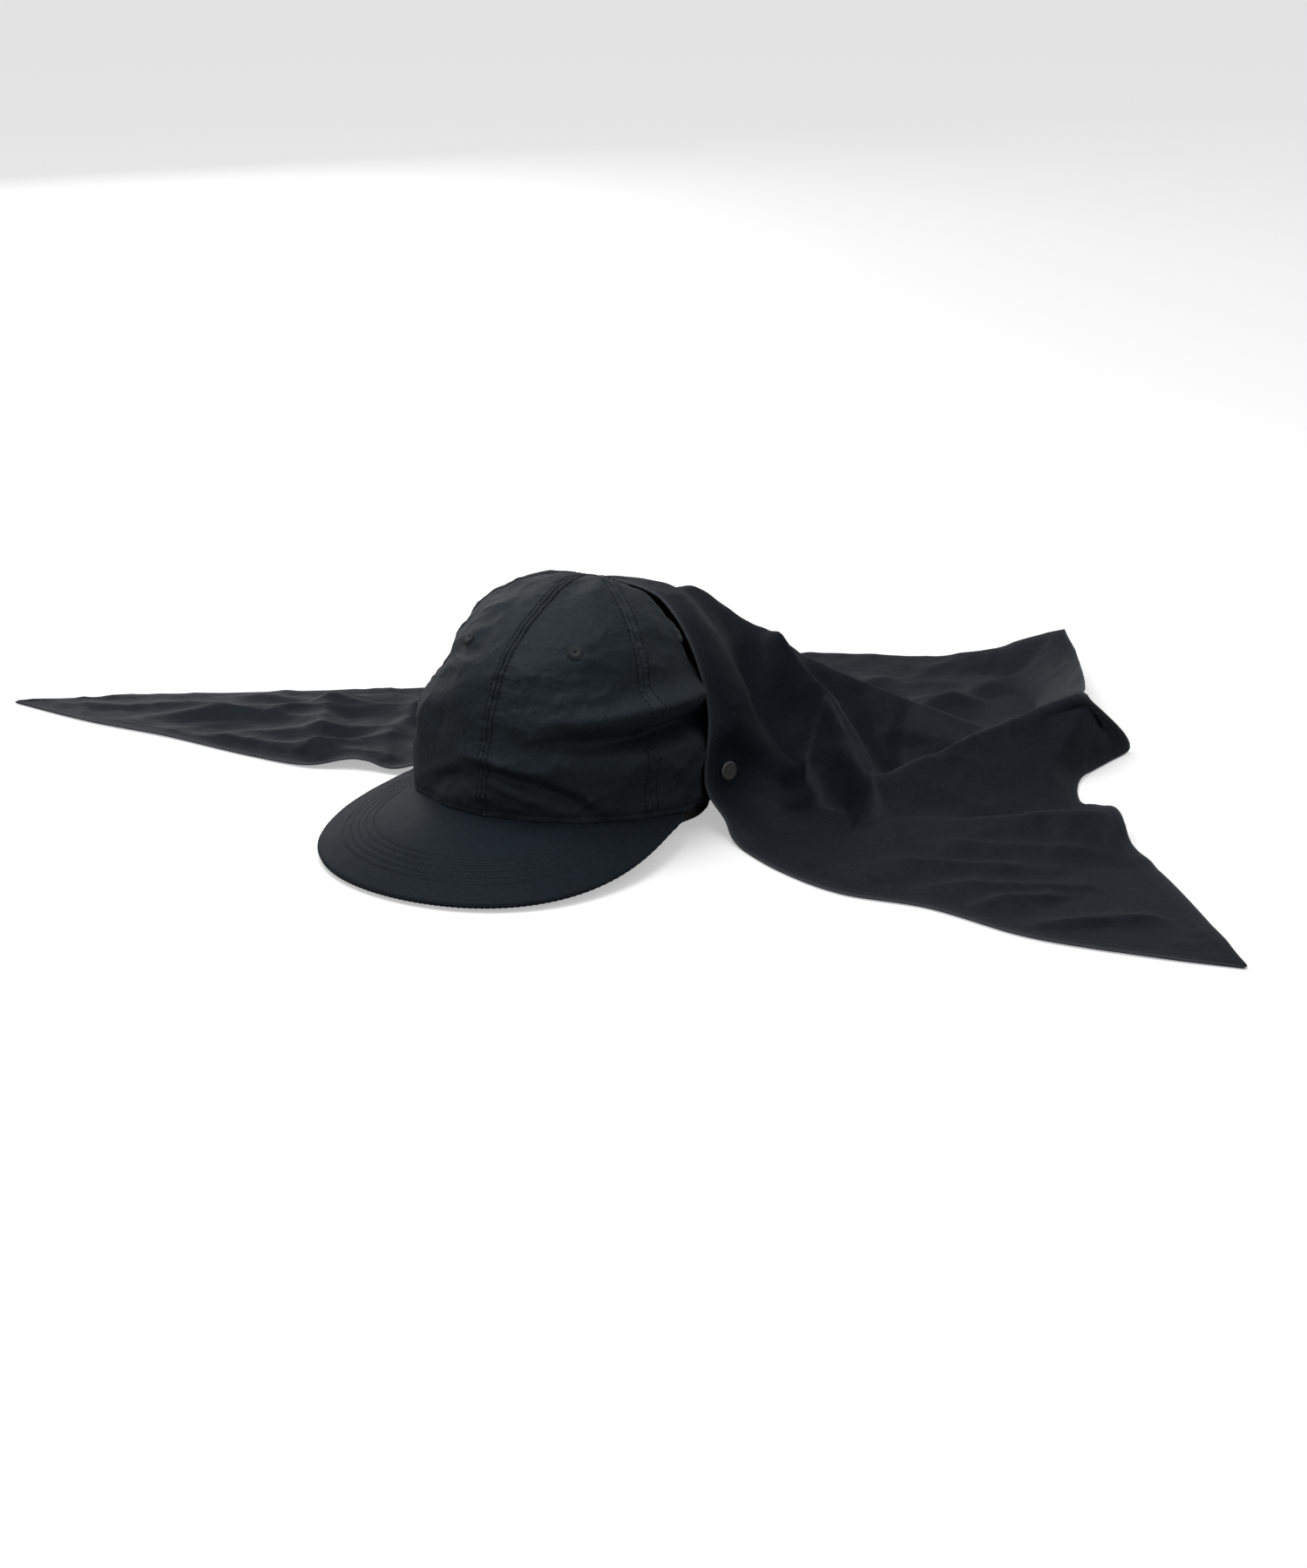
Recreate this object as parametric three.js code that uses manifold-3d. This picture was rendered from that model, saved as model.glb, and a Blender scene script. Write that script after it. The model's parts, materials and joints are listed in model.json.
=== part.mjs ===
// A soft six-panel cap with a triangular sun cape that snaps on over the back of its crown.
// Millimetres, +Z up. The origin is on the floor under the middle of the head opening.
// The brim points along -Y and the wearer's left side along +X.
import * as THREE from "three";
import { mergeVertices } from "three/addons/utils/BufferGeometryUtils.js";
import Module from "manifold-3d";

const wasm = await Module();
wasm.setup();

// ---- Crown ----
const HEAD_LENGTH = 200; // head opening, front to back
const HEAD_WIDTH = 168; // head opening, side to side
const CROWN_HEIGHT = 140; // highest point above the floor
const BASE_HEIGHT = 16; // lower edge of the crown above the floor, at mid length
const BASE_TILT = 0.13; // rise of that edge towards the front, per millimetre
const APEX_SETBACK = 35; // the panels' meeting point, behind the middle of the opening
const BACK_DROP = 0.0058; // the top slopes down backwards by this times length squared
const FRONT_FULLNESS = 2.65; // superellipse power of the crown's profile at the front
const BACK_FULLNESS = 2.35;
const FABRIC = 1; // thickness of shell fabric with its backing
const GAP = 0.3; // clearance between touching pieces
const APEX_HOLE = 2; // radius left open where the panels' points meet
const SIDE_SEAM = 66; // degrees from the front to the first seam
const REAR_SEAM = 126;

// ---- Rear opening and adjuster ----
const ARCH_HALF_ANGLE = 26;
const ARCH_HEIGHT = 45;
const STRAP_WIDTH = 20;
const STRAP_THICKNESS = 1.2;
const STRAP_HALF_ANGLE = 37;
const STRAP_INSET = 2.2; // from the sweatband's inner face
const STRAP_RAISE = 8; // strap's lower edge above the floor
const KEEPER_LENGTH = 11;
const KEEPER_WALL = 1.2;
const KEEPER_CLEARANCE = 0.6;
const KEEPER_TURN = -12; // degrees from the middle of the back, as it rests

// ---- Sweatband and seam tapes ----
const BAND_DROP = 9; // how far the sweatband hangs below the crown's edge
const BAND_RISE = 14;
const BAND_THICKNESS = 1.5;
const BAND_INSET = 4.8; // from the crown's outer face
const BAND_HALF_ANGLE = 150;
const TAPE_WIDTH = 10;
const TAPE_THICKNESS = 0.8;
const TAPE_INSET = 3.2; // from the crown's outer face
const TAPE_CLEARANCE = 6; // above the sweatband
const TAPE_TOP_RADIUS = 13; // tapes stop at this distance from the apex

// ---- Brim ----
const BRIM_LENGTH = 75;
const BRIM_END_LENGTH = 7.8; // how far it stands out at its two ends
const BRIM_HALF_ANGLE = 82; // how far round the opening the brim reaches
const BRIM_SPREAD = 0.37; // share of that angle that its edge direction turns by
const BRIM_TURN = -9.7; // the soft cap lies with its brim turned to the wearer's right
const BRIM_CORNER = 3.95;
const BRIM_EDGE_HEIGHT = 4; // upper face at the front edge, above the floor
const BRIM_END_RISE = 14.5;
const BRIM_CROWNING = 3;
const BOARD_THICKNESS = 1.4;
const COVER_THICKNESS = 0.8;

// ---- Eyelets ----
const EYELET_RADIUS = 4.7;
const EYELET_HOLE = 1.4;
const EYELET_THICKNESS = 0.6;
const EYELET_LEVEL = 0.52; // up the panel, 0 at its edge and 1 at the apex

// ---- Snap fasteners ----
const SNAP_OUT = 8; // face of the snap's cap, beyond the side of the head opening
const SNAP_BACK = 30; // and behind its middle
const SNAP_RISE = 13; // and above the crown's lower edge at mid length
const SNAP_AXIS = [0.92, -0.37, 0.12];
const SNAP_CAP_RADIUS = 6;
const SNAP_FLANGE_RADIUS = 5.5;
const SNAP_STUD_RADIUS = 2.2;
const SNAP_SHANK_RADIUS = 1.3;
const SNAP_DISC = 0.8;
const SNAP_STUD_HEIGHT = 3.2;
const SNAP_CAP_DEPTH = 1.1;
const SNAP_FLAT = 13; // fabric lies square to the snap inside this radius
const SNAP_FADE = 26; // and is free of it outside this one
const CAPE_SNAP_FLAT = 17; // the same two radii on the cape
const CAPE_SNAP_FADE = 42;
const SNAP_REACH = 60; // fabric further than this along the axis is on the cap's far side

// ---- Cape ----
const CAPE_THICKNESS = 1;
const CAPE_STANDOFF = 5; // middle of the cape's front edge from the crown's outer face
const CAPE_FLOOR = 0.9; // middle of the cloth where it lies flat
const TENT_RISE = 4; // top of the tent above the crown
const TENT_REACH = 1.03;
const TENT_SPREAD_SHARP = 9; // left side, where the cloth drops steeply
const TENT_SPREAD_SOFT = 5.5; // right side, where it spreads as a tent
const RIDGE_WIDTH = 17;
const SET_OUT_WIDTH = 168; // head opening that the cape's own points are given round
const SET_OUT_LENGTH = 200;
const EDGE_BLEND = 0.25; // share of the cape over which its front edge eases into the tent
const TRAIL_BLEND = 0.15; // and the tent into its trailing edges
const TIP_TRIM = 0.004; // share of the front edge cut square at each tip
const CAPE_DEPTH = 280; // length that the cape's rows are spaced for
const CAPE_GRID = 30; // spacing of the cape's grid along its front edge
const CAPE_ROW_GRID = 20; // and away from it
const SNAP_GRID = 7; // spacing of it near a snap
const PANEL_ROWS = 17; // cells up a panel
const PANEL_COLUMNS = 9; // cells across it
const SNAP_PANEL_COLUMNS = 17; // cells across a panel that carries a snap
const ROW_BUNCHING = 1.35; // rows of cells stand closer towards a panel's lower edge
const DRILL_REACH = 8; // length of the tool that makes a hole through a sheet

const rad = THREE.MathUtils.degToRad;
const { smoothstep, lerp } = THREE.MathUtils;
const vec = (x, y, z) => new THREE.Vector3(x, y, z);

// ---- Materials ----
const finish = (color, roughness, metalness = 0) =>
  new THREE.MeshStandardMaterial({ color, roughness, metalness });
const shellFabric = finish(0x283035, 0.62);
const brimFabric = finish(0x262c30, 0.6);
const capeFabric = finish(0x1e2227, 0.58);
const trimFabric = finish(0x111214, 0.85);
const boardPlastic = finish(0x2a2c2e, 0.6);
const webbing = finish(0x16181a, 0.8);
const threadMaterial = finish(0x2f3638, 0.75);
const snapMetal = finish(0x313234, 0.35, 0.9);
const keeperPlastic = finish(0x17181a, 0.45);

const part = new THREE.Group();

function addPiece(name, geometry, material) {
  const mesh = new THREE.Mesh(geometry, material);
  mesh.name = name;
  part.add(mesh);
  return mesh;
}

// ---- Solids from sheets ----

// A closed solid between two offsets of the surface point(i, j) on a grid of cols x rows cells.
function thickSheet(point, cols, rows, inner, outer) {
  const grid = [];
  for (let i = 0; i <= cols; i += 1) {
    grid.push([]);
    for (let j = 0; j <= rows; j += 1) {
      grid[i].push(point(i / cols, j / rows));
    }
  }
  const at = (i, j) => grid[THREE.MathUtils.clamp(i, 0, cols)][THREE.MathUtils.clamp(j, 0, rows)];
  const positions = [];
  for (let i = 0; i <= cols; i += 1) {
    for (let j = 0; j <= rows; j += 1) {
      const along = at(i + 1, j).clone().sub(at(i - 1, j));
      const across = at(i, j + 1).clone().sub(at(i, j - 1));
      const normal = along.cross(across).normalize();
      const top = at(i, j).clone().addScaledVector(normal, outer);
      const bottom = at(i, j).clone().addScaledVector(normal, inner);
      positions.push(top.x, top.y, top.z, bottom.x, bottom.y, bottom.z);
    }
  }
  const top = (i, j) => 2 * (i * (rows + 1) + j);
  const bottom = (i, j) => top(i, j) + 1;
  const index = [];
  const quad = (a, b, c, d) => index.push(a, b, c, a, c, d);
  for (let i = 0; i < cols; i += 1) {
    for (let j = 0; j < rows; j += 1) {
      quad(top(i, j), top(i + 1, j), top(i + 1, j + 1), top(i, j + 1));
      quad(bottom(i, j), bottom(i, j + 1), bottom(i + 1, j + 1), bottom(i + 1, j));
    }
    quad(top(i, 0), bottom(i, 0), bottom(i + 1, 0), top(i + 1, 0));
    quad(top(i, rows), top(i + 1, rows), bottom(i + 1, rows), bottom(i, rows));
  }
  for (let j = 0; j < rows; j += 1) {
    quad(top(0, j), top(0, j + 1), bottom(0, j + 1), bottom(0, j));
    quad(top(cols, j), bottom(cols, j), bottom(cols, j + 1), top(cols, j + 1));
  }
  const geometry = new THREE.BufferGeometry();
  geometry.setAttribute("position", new THREE.Float32BufferAttribute(positions, 3));
  geometry.setIndex(index);
  return geometry;
}

function toSolid(geometry) {
  const bare = geometry.clone();
  bare.deleteAttribute("normal");
  bare.deleteAttribute("uv");
  const merged = mergeVertices(bare, 1e-4);
  return new wasm.Manifold(new wasm.Mesh({
    numProp: 3,
    vertProperties: new Float32Array(merged.attributes.position.array),
    triVerts: new Uint32Array(merged.index.array),
  }));
}

function fromSolid(solid) {
  const mesh = solid.getMesh();
  const geometry = new THREE.BufferGeometry();
  geometry.setAttribute("position", new THREE.BufferAttribute(new Float32Array(mesh.vertProperties), 3));
  geometry.setIndex(new THREE.BufferAttribute(new Uint32Array(mesh.triVerts), 1));
  return geometry;
}

// Drills a round hole through a sheet, along axis at centre.
function drill(geometry, centre, axis, radius) {
  const tool = new THREE.CylinderGeometry(radius, radius, DRILL_REACH, 16);
  tool.applyQuaternion(new THREE.Quaternion().setFromUnitVectors(vec(0, 1, 0), axis));
  tool.translate(centre.x, centre.y, centre.z);
  return fromSolid(toSolid(geometry).subtract(toSolid(tool)));
}

// A turned piece whose profile is [radius, height] pairs, with its axis along axis from centre.
function turned(profile, centre, axis, segments = 18) {
  const geometry = new THREE.LatheGeometry(profile.map(([r, h]) => new THREE.Vector2(r, h)), segments);
  geometry.applyQuaternion(new THREE.Quaternion().setFromUnitVectors(vec(0, 1, 0), axis));
  geometry.translate(centre.x, centre.y, centre.z);
  return geometry;
}

// ---- Crown surface ----
const baseHeight = (y) => BASE_HEIGHT - BASE_TILT * y;

function basePoint(angle) {
  const x = (HEAD_WIDTH / 2) * Math.sin(rad(angle));
  const y = -(HEAD_LENGTH / 2) * Math.cos(rad(angle));
  return vec(x, y, baseHeight(y));
}

const fullness = (angle) => lerp(FRONT_FULLNESS, BACK_FULLNESS, (1 - Math.cos(rad(angle))) / 2);
const topHeight = (y) => CROWN_HEIGHT - BACK_DROP * Math.max(0, y) ** 2;

function crownSurface(angle, level) {
  const base = basePoint(angle);
  const power = 2 / fullness(angle);
  const reach = Math.cos(level * Math.PI / 2) ** power;
  const rise = Math.sin(level * Math.PI / 2) ** power;
  const x = base.x * reach;
  const y = lerp(APEX_SETBACK, base.y, reach);
  return vec(x, y, lerp(base.z, topHeight(y), rise));
}

function crownNormal(angle, level) {
  const step = 0.01;
  const along = crownSurface(angle + 1, level).sub(crownSurface(angle - 1, level));
  const up = crownSurface(angle, Math.min(level + step, 0.999));
  up.sub(crownSurface(angle, Math.max(level - step, 0)));
  return along.cross(up).normalize();
}

// The level at which a panel stands the given height above its lower edge.
function levelAtRise(angle, height) {
  const base = basePoint(angle);
  const share = height / (topHeight(base.y) - base.z);
  return Math.asin(share ** (fullness(angle) / 2)) / (Math.PI / 2);
}

// The level at which a panel is the given distance from the apex, in plan.
function levelAtRadius(angle, distance) {
  const base = basePoint(angle);
  const span = Math.hypot(base.x, base.y - APEX_SETBACK);
  return Math.acos((distance / span) ** (fullness(angle) / 2)) / (Math.PI / 2);
}

function archHeight(angle) {
  const across = (180 - Math.abs(angle)) / ARCH_HALF_ANGLE;
  return across < 1 ? ARCH_HEIGHT * Math.sqrt(1 - across ** 2) : 0;
}

// ---- Snap places ----
function snapFrame(side) {
  const axis = vec(SNAP_AXIS[0] * side, SNAP_AXIS[1], SNAP_AXIS[2]).normalize();
  const stack = snapHeights();
  const face = vec((HEAD_WIDTH / 2 + SNAP_OUT) * side, SNAP_BACK, BASE_HEIGHT + SNAP_RISE);
  return { axis, seat: face.addScaledVector(axis, -stack.capTop) };
}

// Heights above the crown's outer face, along the snap's axis.
function snapHeights() {
  const flange = GAP;
  const studTop = flange + SNAP_STUD_HEIGHT;
  const socketBottom = flange + SNAP_DISC + GAP;
  const socketTop = studTop + GAP + SNAP_DISC;
  const clothBottom = socketTop + GAP;
  const clothTop = clothBottom + CAPE_THICKNESS;
  const capBottom = clothTop + GAP;
  const capTop = capBottom + SNAP_CAP_DEPTH;
  return { flange, studTop, socketBottom, socketTop, clothBottom, clothTop, capBottom, capTop };
}

const snaps = [["left", 1], ["right", -1]].map(([name, side]) => ({ name, side, ...snapFrame(side) }));

// Draws a surface point onto the plane that stands at the given height over a snap's seat.
function squareToSnaps(point, height, flat = SNAP_FLAT, fade = SNAP_FADE) {
  for (const { axis, seat } of snaps) {
    const offset = point.clone().sub(seat);
    const above = offset.dot(axis);
    const away = offset.addScaledVector(axis, -above).length();
    if (Math.abs(above) < SNAP_REACH) {
      const share = 1 - smoothstep(away, flat, fade);
      point.addScaledVector(axis, (height - above) * share);
    }
  }
  return point;
}

// ---- Crown panels, tapes and eyelets ----
const panels = [
  ["front", 0, SIDE_SEAM],
  ["side", SIDE_SEAM, REAR_SEAM],
  ["back", REAR_SEAM, 180],
];

function panelPoint(from, to, u, v) {
  const middle = lerp(from, to, u);
  const low = archHeight(middle) ? levelAtRise(middle, archHeight(middle)) : 0;
  const level = lerp(low, levelAtRadius(middle, APEX_HOLE), v ** ROW_BUNCHING);
  const perDegree = crownSurface(middle + 1, level).distanceTo(crownSurface(middle, level));
  const trim = GAP / 2 / perDegree;
  return crownSurface(lerp(from + trim, to - trim, u), level);
}

for (const [place, from, to] of panels) {
  for (const [sideName, side] of [["left", 1], ["right", -1]]) {
    const start = side > 0 ? from : -to;
    const end = side > 0 ? to : -from;
    const surface = (u, v) => squareToSnaps(panelPoint(start, end, u, v), 0);
    const cells = place === "side" ? SNAP_PANEL_COLUMNS : PANEL_COLUMNS;
    let sheet = thickSheet(surface, cells, PANEL_ROWS, -FABRIC, 0);
    const middle = (start + end) / 2;
    const centre = crownSurface(middle, EYELET_LEVEL);
    const normal = crownNormal(middle, EYELET_LEVEL);
    sheet = drill(sheet, centre, normal, EYELET_HOLE);
    if (place === "side") {
      const snap = snaps.find((s) => s.side === side);
      sheet = drill(sheet, snap.seat, snap.axis, SNAP_SHANK_RADIUS + GAP);
    }
    addPiece(`${place}_panel_${sideName}`, sheet, shellFabric);
    const ring = [
      [EYELET_HOLE, 0],
      [EYELET_RADIUS, 0],
      [EYELET_RADIUS, EYELET_THICKNESS / 2],
      [EYELET_RADIUS - EYELET_THICKNESS, EYELET_THICKNESS],
      [EYELET_HOLE, EYELET_THICKNESS],
      [EYELET_HOLE, 0],
    ];
    const seat = centre.clone().addScaledVector(normal, GAP);
    addPiece(`${place}_eyelet_${sideName}`, turned(ring, seat, normal, 12), threadMaterial);
  }
}

const seams = [
  ["front", 0],
  ["left_front", SIDE_SEAM],
  ["left_rear", REAR_SEAM],
  ["rear", 180],
  ["right_rear", -REAR_SEAM],
  ["right_front", -SIDE_SEAM],
];
for (const [name, angle] of seams) {
  const lowest = archHeight(angle) ? archHeight(angle) + 4 * GAP : BAND_RISE + TAPE_CLEARANCE;
  const low = levelAtRise(angle, lowest);
  const high = levelAtRadius(angle, TAPE_TOP_RADIUS);
  const surface = (u, v) => {
    const level = lerp(low, high, v);
    const centre = crownSurface(angle, level);
    const radius = Math.hypot(centre.x, centre.y - APEX_SETBACK);
    const half = THREE.MathUtils.radToDeg(TAPE_WIDTH / 2 / radius);
    return crownSurface(angle + lerp(-half, half, u), level);
  };
  const tape = thickSheet(surface, 2, 14, -TAPE_INSET - TAPE_THICKNESS, -TAPE_INSET);
  addPiece(`${name}_seam_tape`, tape, trimFabric);
}

// ---- Sweatband ----
function bandPoint(u, v) {
  const angle = lerp(-BAND_HALF_ANGLE, BAND_HALF_ANGLE, u);
  const base = basePoint(angle);
  const inward = vec(-Math.sin(rad(angle)) / HEAD_WIDTH, Math.cos(rad(angle)) / HEAD_LENGTH, 0).normalize();
  const foot = base.clone().addScaledVector(inward, BAND_INSET);
  foot.z = lerp(Math.max(GAP, base.z - BAND_DROP), base.z + BAND_RISE, v);
  return squareToSnaps(foot, -BAND_INSET);
}
addPiece("sweatband", thickSheet(bandPoint, 60, 3, -BAND_THICKNESS, 0), trimFabric);

// ---- Brim ----
function brimSurface(u, v) {
  const angle = lerp(-BRIM_HALF_ANGLE, BRIM_HALF_ANGLE, u);
  const share = Math.min(Math.abs(angle) / BRIM_HALF_ANGLE, 1);
  const width = lerp(BRIM_LENGTH, BRIM_END_LENGTH, share ** BRIM_CORNER);
  const heading = rad(angle * BRIM_SPREAD + BRIM_TURN);
  const inner = basePoint(angle);
  inner.z -= GAP;
  const outer = inner.clone().add(vec(width * Math.sin(heading), -width * Math.cos(heading), 0));
  outer.z = BRIM_EDGE_HEIGHT + BRIM_END_RISE * share ** 4;
  const point = inner.lerp(outer, v);
  point.z += BRIM_CROWNING * Math.sin(Math.PI * v) * (1 - share ** 2);
  return point;
}
const boardTop = -COVER_THICKNESS - GAP;
const underTop = boardTop - BOARD_THICKNESS - GAP;
const brimLayer = (top, thickness) =>
  thickSheet((u, v) => brimSurface(u, 1 - v), 24, 4, top - thickness, top);
addPiece("brim_top_cover", brimLayer(0, COVER_THICKNESS), brimFabric);
addPiece("brim_board", brimLayer(boardTop, BOARD_THICKNESS), boardPlastic);
addPiece("brim_under_cover", brimLayer(underTop, COVER_THICKNESS), brimFabric);

// ---- Rear adjuster ----
// The strap curves as the back of the head opening does.
const strapRadius = (HEAD_WIDTH / 2) ** 2 / (HEAD_LENGTH / 2);
const strapCentre = HEAD_LENGTH / 2 - BAND_INSET - BAND_THICKNESS - STRAP_INSET - strapRadius;
function arcSolid(halfAngle, radius, thickness, bottom, top, turn = 0, segments = 20) {
  const surface = (u, v) => {
    const angle = rad(lerp(-halfAngle, halfAngle, u) + turn);
    return vec(radius * Math.sin(angle), strapCentre + radius * Math.cos(angle), lerp(top, bottom, v));
  };
  return thickSheet(surface, segments, 1, -thickness, 0);
}
const strapTop = STRAP_RAISE + STRAP_WIDTH;
const strap = arcSolid(STRAP_HALF_ANGLE, strapRadius, STRAP_THICKNESS, STRAP_RAISE, strapTop);
addPiece("adjuster_strap", strap, webbing);

// The keeper is a loop round the strap that slides along it.
const keeperHalf = THREE.MathUtils.radToDeg(KEEPER_LENGTH / 2 / strapRadius);
const keeperInner = KEEPER_CLEARANCE + KEEPER_WALL;
const keeperOuter = arcSolid(
  keeperHalf, strapRadius + keeperInner, STRAP_THICKNESS + 2 * keeperInner,
  STRAP_RAISE - keeperInner, strapTop + keeperInner, KEEPER_TURN, 4,
);
const keeperHole = arcSolid(
  2 * keeperHalf, strapRadius + KEEPER_CLEARANCE, STRAP_THICKNESS + 2 * KEEPER_CLEARANCE,
  STRAP_RAISE - KEEPER_CLEARANCE, strapTop + KEEPER_CLEARANCE, KEEPER_TURN, 8,
);
const keeper = fromSolid(toSolid(keeperOuter).subtract(toSolid(keeperHole)));
addPiece("strap_keeper", keeper, keeperPlastic);

// ---- Snap pieces ----
for (const { name, axis, seat } of snaps) {
  const h = snapHeights();
  const studNeck = h.studTop - SNAP_DISC;
  const stud = [
    [0, h.flange],
    [SNAP_FLANGE_RADIUS, h.flange],
    [SNAP_FLANGE_RADIUS, h.flange + SNAP_DISC],
    [SNAP_STUD_RADIUS - 0.3, h.flange + SNAP_DISC],
    [SNAP_STUD_RADIUS, studNeck],
    [SNAP_STUD_RADIUS - 0.3, h.studTop],
    [0, h.studTop],
  ];
  addPiece(`snap_stud_${name}`, turned(stud, seat, axis), snapMetal);
  const postTop = -FABRIC - GAP;
  const post = [
    [0, postTop - SNAP_DISC],
    [SNAP_FLANGE_RADIUS, postTop - SNAP_DISC],
    [SNAP_FLANGE_RADIUS, postTop],
    [SNAP_SHANK_RADIUS, postTop],
    [SNAP_SHANK_RADIUS, 0],
    [0, 0],
  ];
  addPiece(`snap_post_${name}`, turned(post, seat, axis), snapMetal);
  const cavity = SNAP_STUD_RADIUS + 2 * GAP;
  const socket = [
    [0, h.studTop + GAP],
    [cavity, h.studTop + GAP],
    [cavity, h.socketBottom],
    [SNAP_FLANGE_RADIUS, h.socketBottom],
    [SNAP_FLANGE_RADIUS, h.socketTop],
    [0, h.socketTop],
  ];
  addPiece(`snap_socket_${name}`, turned(socket, seat, axis), snapMetal);
  const cap = [
    [0, h.clothBottom],
    [SNAP_SHANK_RADIUS, h.clothBottom],
    [SNAP_SHANK_RADIUS, h.capBottom],
    [SNAP_CAP_RADIUS, h.capBottom],
    [SNAP_CAP_RADIUS, h.capBottom + SNAP_CAP_DEPTH / 2],
    [SNAP_CAP_RADIUS - 1, h.capTop],
    [0, h.capTop],
  ];
  addPiece(`snap_cap_${name}`, turned(cap, seat, axis), snapMetal);
}

// ---- Cape ----

// A point of the cape, moved out by as much as the head opening's side or end has moved.
function set(x, y, z) {
  const sideways = (HEAD_WIDTH - SET_OUT_WIDTH) / 2;
  const endways = (HEAD_LENGTH - SET_OUT_LENGTH) / 2;
  const aside = THREE.MathUtils.clamp(x / (SET_OUT_WIDTH / 2), -1, 1);
  const behind = THREE.MathUtils.clamp(y / (SET_OUT_LENGTH / 2), -1, 1);
  return vec(x + aside * sideways, y + behind * endways, z);
}

// The front edge climbs the crown's side: [angle, level] pairs up from the snap to the middle.
const CLIMB = [[96, 0.035], [98, 0.13], [102, 0.24], [102, 0.37], [102.5, 0.48], [104.5, 0.6], [115, 0.75]];
const onCrown = (side) => ([angle, level]) =>
  crownSurface(side * angle, level).addScaledVector(crownNormal(side * angle, level), CAPE_STANDOFF);
const frontEdge = new THREE.CatmullRomCurve3([
  set(-410, 4, CAPE_FLOOR),
  set(-345, -5, CAPE_FLOOR),
  set(-281, -6, CAPE_FLOOR),
  set(-215, -12, CAPE_FLOOR),
  set(-172, -12, 2),
  set(-146, -1, 7),
  set(-120, 2, 4),
  set(-100, 6, 14),
  ...CLIMB.map(onCrown(-1)),
  crownSurface(180, 0.9).add(vec(0, 0, CAPE_STANDOFF)),
  ...CLIMB.map(onCrown(1)).reverse(),
  set(102, 1, 13),
  set(112, -8, 3),
  set(151, -34, CAPE_FLOOR),
  set(196, -50, CAPE_FLOOR),
  set(246, -47, CAPE_FLOOR),
  set(309, -60, CAPE_FLOOR),
  set(374, -55, CAPE_FLOOR),
  set(424, -46, CAPE_FLOOR),
], false, "centripetal");
frontEdge.arcLengthDivisions = 800;

// The two trailing edges run from the tips to the corner behind the crown.
const leftTrail = new THREE.CatmullRomCurve3([
  set(-410, 4, CAPE_FLOOR),
  set(-344, 52, CAPE_FLOOR),
  set(-253, 111, CAPE_FLOOR),
  set(-182, 158, CAPE_FLOOR),
  set(-90, 250, CAPE_FLOOR),
  set(0, 335, CAPE_FLOOR),
  set(44, 359, CAPE_FLOOR),
  set(95, 374, 4),
  set(131, 390, 13),
  set(166, 402, 25),
], false, "centripetal");
const rightTrail = new THREE.CatmullRomCurve3([
  set(166, 402, 25),
  set(184, 374, 18),
  set(207, 320, 24),
  set(228, 262, 35),
  set(243, 218, 45),
  set(264, 252, 4),
  set(253, 188, 2),
  set(271, 140, 3),
  set(300, 112, 15),
  set(319, 88, 6),
  set(348, 56, CAPE_FLOOR),
  set(398, -10, CAPE_FLOOR),
  set(424, -46, CAPE_FLOOR),
], false, "centripetal");

// Folds that stand up from the tent: their crest lines, as points.
const ridges = [
  [[36, 96, 96], [66, 122, 76], [88, 146, 60], [117, 168, 46], [145, 176, 36], [193, 172, 30]],
  [[140, 20, 5], [150, 35, 13], [165, 65, 22], [200, 158, 33], [222, 197, 40], [242, 222, 45]],
  [[90, 128, 70], [112, 126, 46], [140, 98, 32], [165, 68, 22]],
  [[128, 4, 3], [171, 32, 9], [198, 50, 11], [250, 78, 13], [284, 101, 15], [301, 111, 16]],
].map((crest) => crest.map(([x, y, height]) => set(x, y, height)));

function ridgeHeight(x, y, crest) {
  let best = 0;
  for (let k = 0; k + 1 < crest.length; k += 1) {
    const { x: ax, y: ay, z: az } = crest[k];
    const { x: bx, y: by, z: bz } = crest[k + 1];
    const length2 = (bx - ax) ** 2 + (by - ay) ** 2;
    const t = THREE.MathUtils.clamp(((x - ax) * (bx - ax) + (y - ay) * (by - ay)) / length2, 0, 1);
    const away = Math.hypot(x - lerp(ax, bx, t), y - lerp(ay, by, t));
    const height = lerp(az, bz, t);
    best = Math.max(best, height * Math.exp(-((away / (RIDGE_WIDTH + height / 4)) ** 2)));
  }
  return best;
}

function tentHeight(x, y) {
  const reach = Math.hypot(x / (HEAD_WIDTH / 2), y / (HEAD_LENGTH / 2)) / TENT_REACH;
  const spread = lerp(TENT_SPREAD_SHARP, TENT_SPREAD_SOFT, smoothstep(x, -HEAD_WIDTH / 2, HEAD_WIDTH / 2));
  const top = CROWN_HEIGHT + TENT_RISE - BACK_DROP * Math.min(Math.max(0, y), HEAD_LENGTH / 2) ** 2;
  const heights = ridges.map((crest) => ridgeHeight(x, y, crest));
  heights.push(top / (1 + reach ** spread));
  return CAPE_FLOOR + Math.cbrt(heights.reduce((sum, height) => sum + height ** 3, 0));
}

// Shares of a length from start to end, closer together within reach of the named places.
function spacing(length, step, places, reach, start, end) {
  const shares = [start];
  while (shares.at(-1) < end) {
    const here = shares.at(-1);
    const near = places.some((place) => Math.abs(here - place) * length < reach);
    shares.push(here + (near ? SNAP_GRID : step) / length);
  }
  shares[shares.length - 1] = end;
  return shares;
}

// Where along the front edge each snap stands.
function nearestShare(seat) {
  const steps = frontEdge.arcLengthDivisions;
  let best = 0;
  let least = Infinity;
  for (let k = 0; k <= steps; k += 1) {
    const away = frontEdge.getPointAt(k / steps).distanceTo(seat);
    if (away < least) {
      least = away;
      best = k / steps;
    }
  }
  return best;
}

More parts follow.
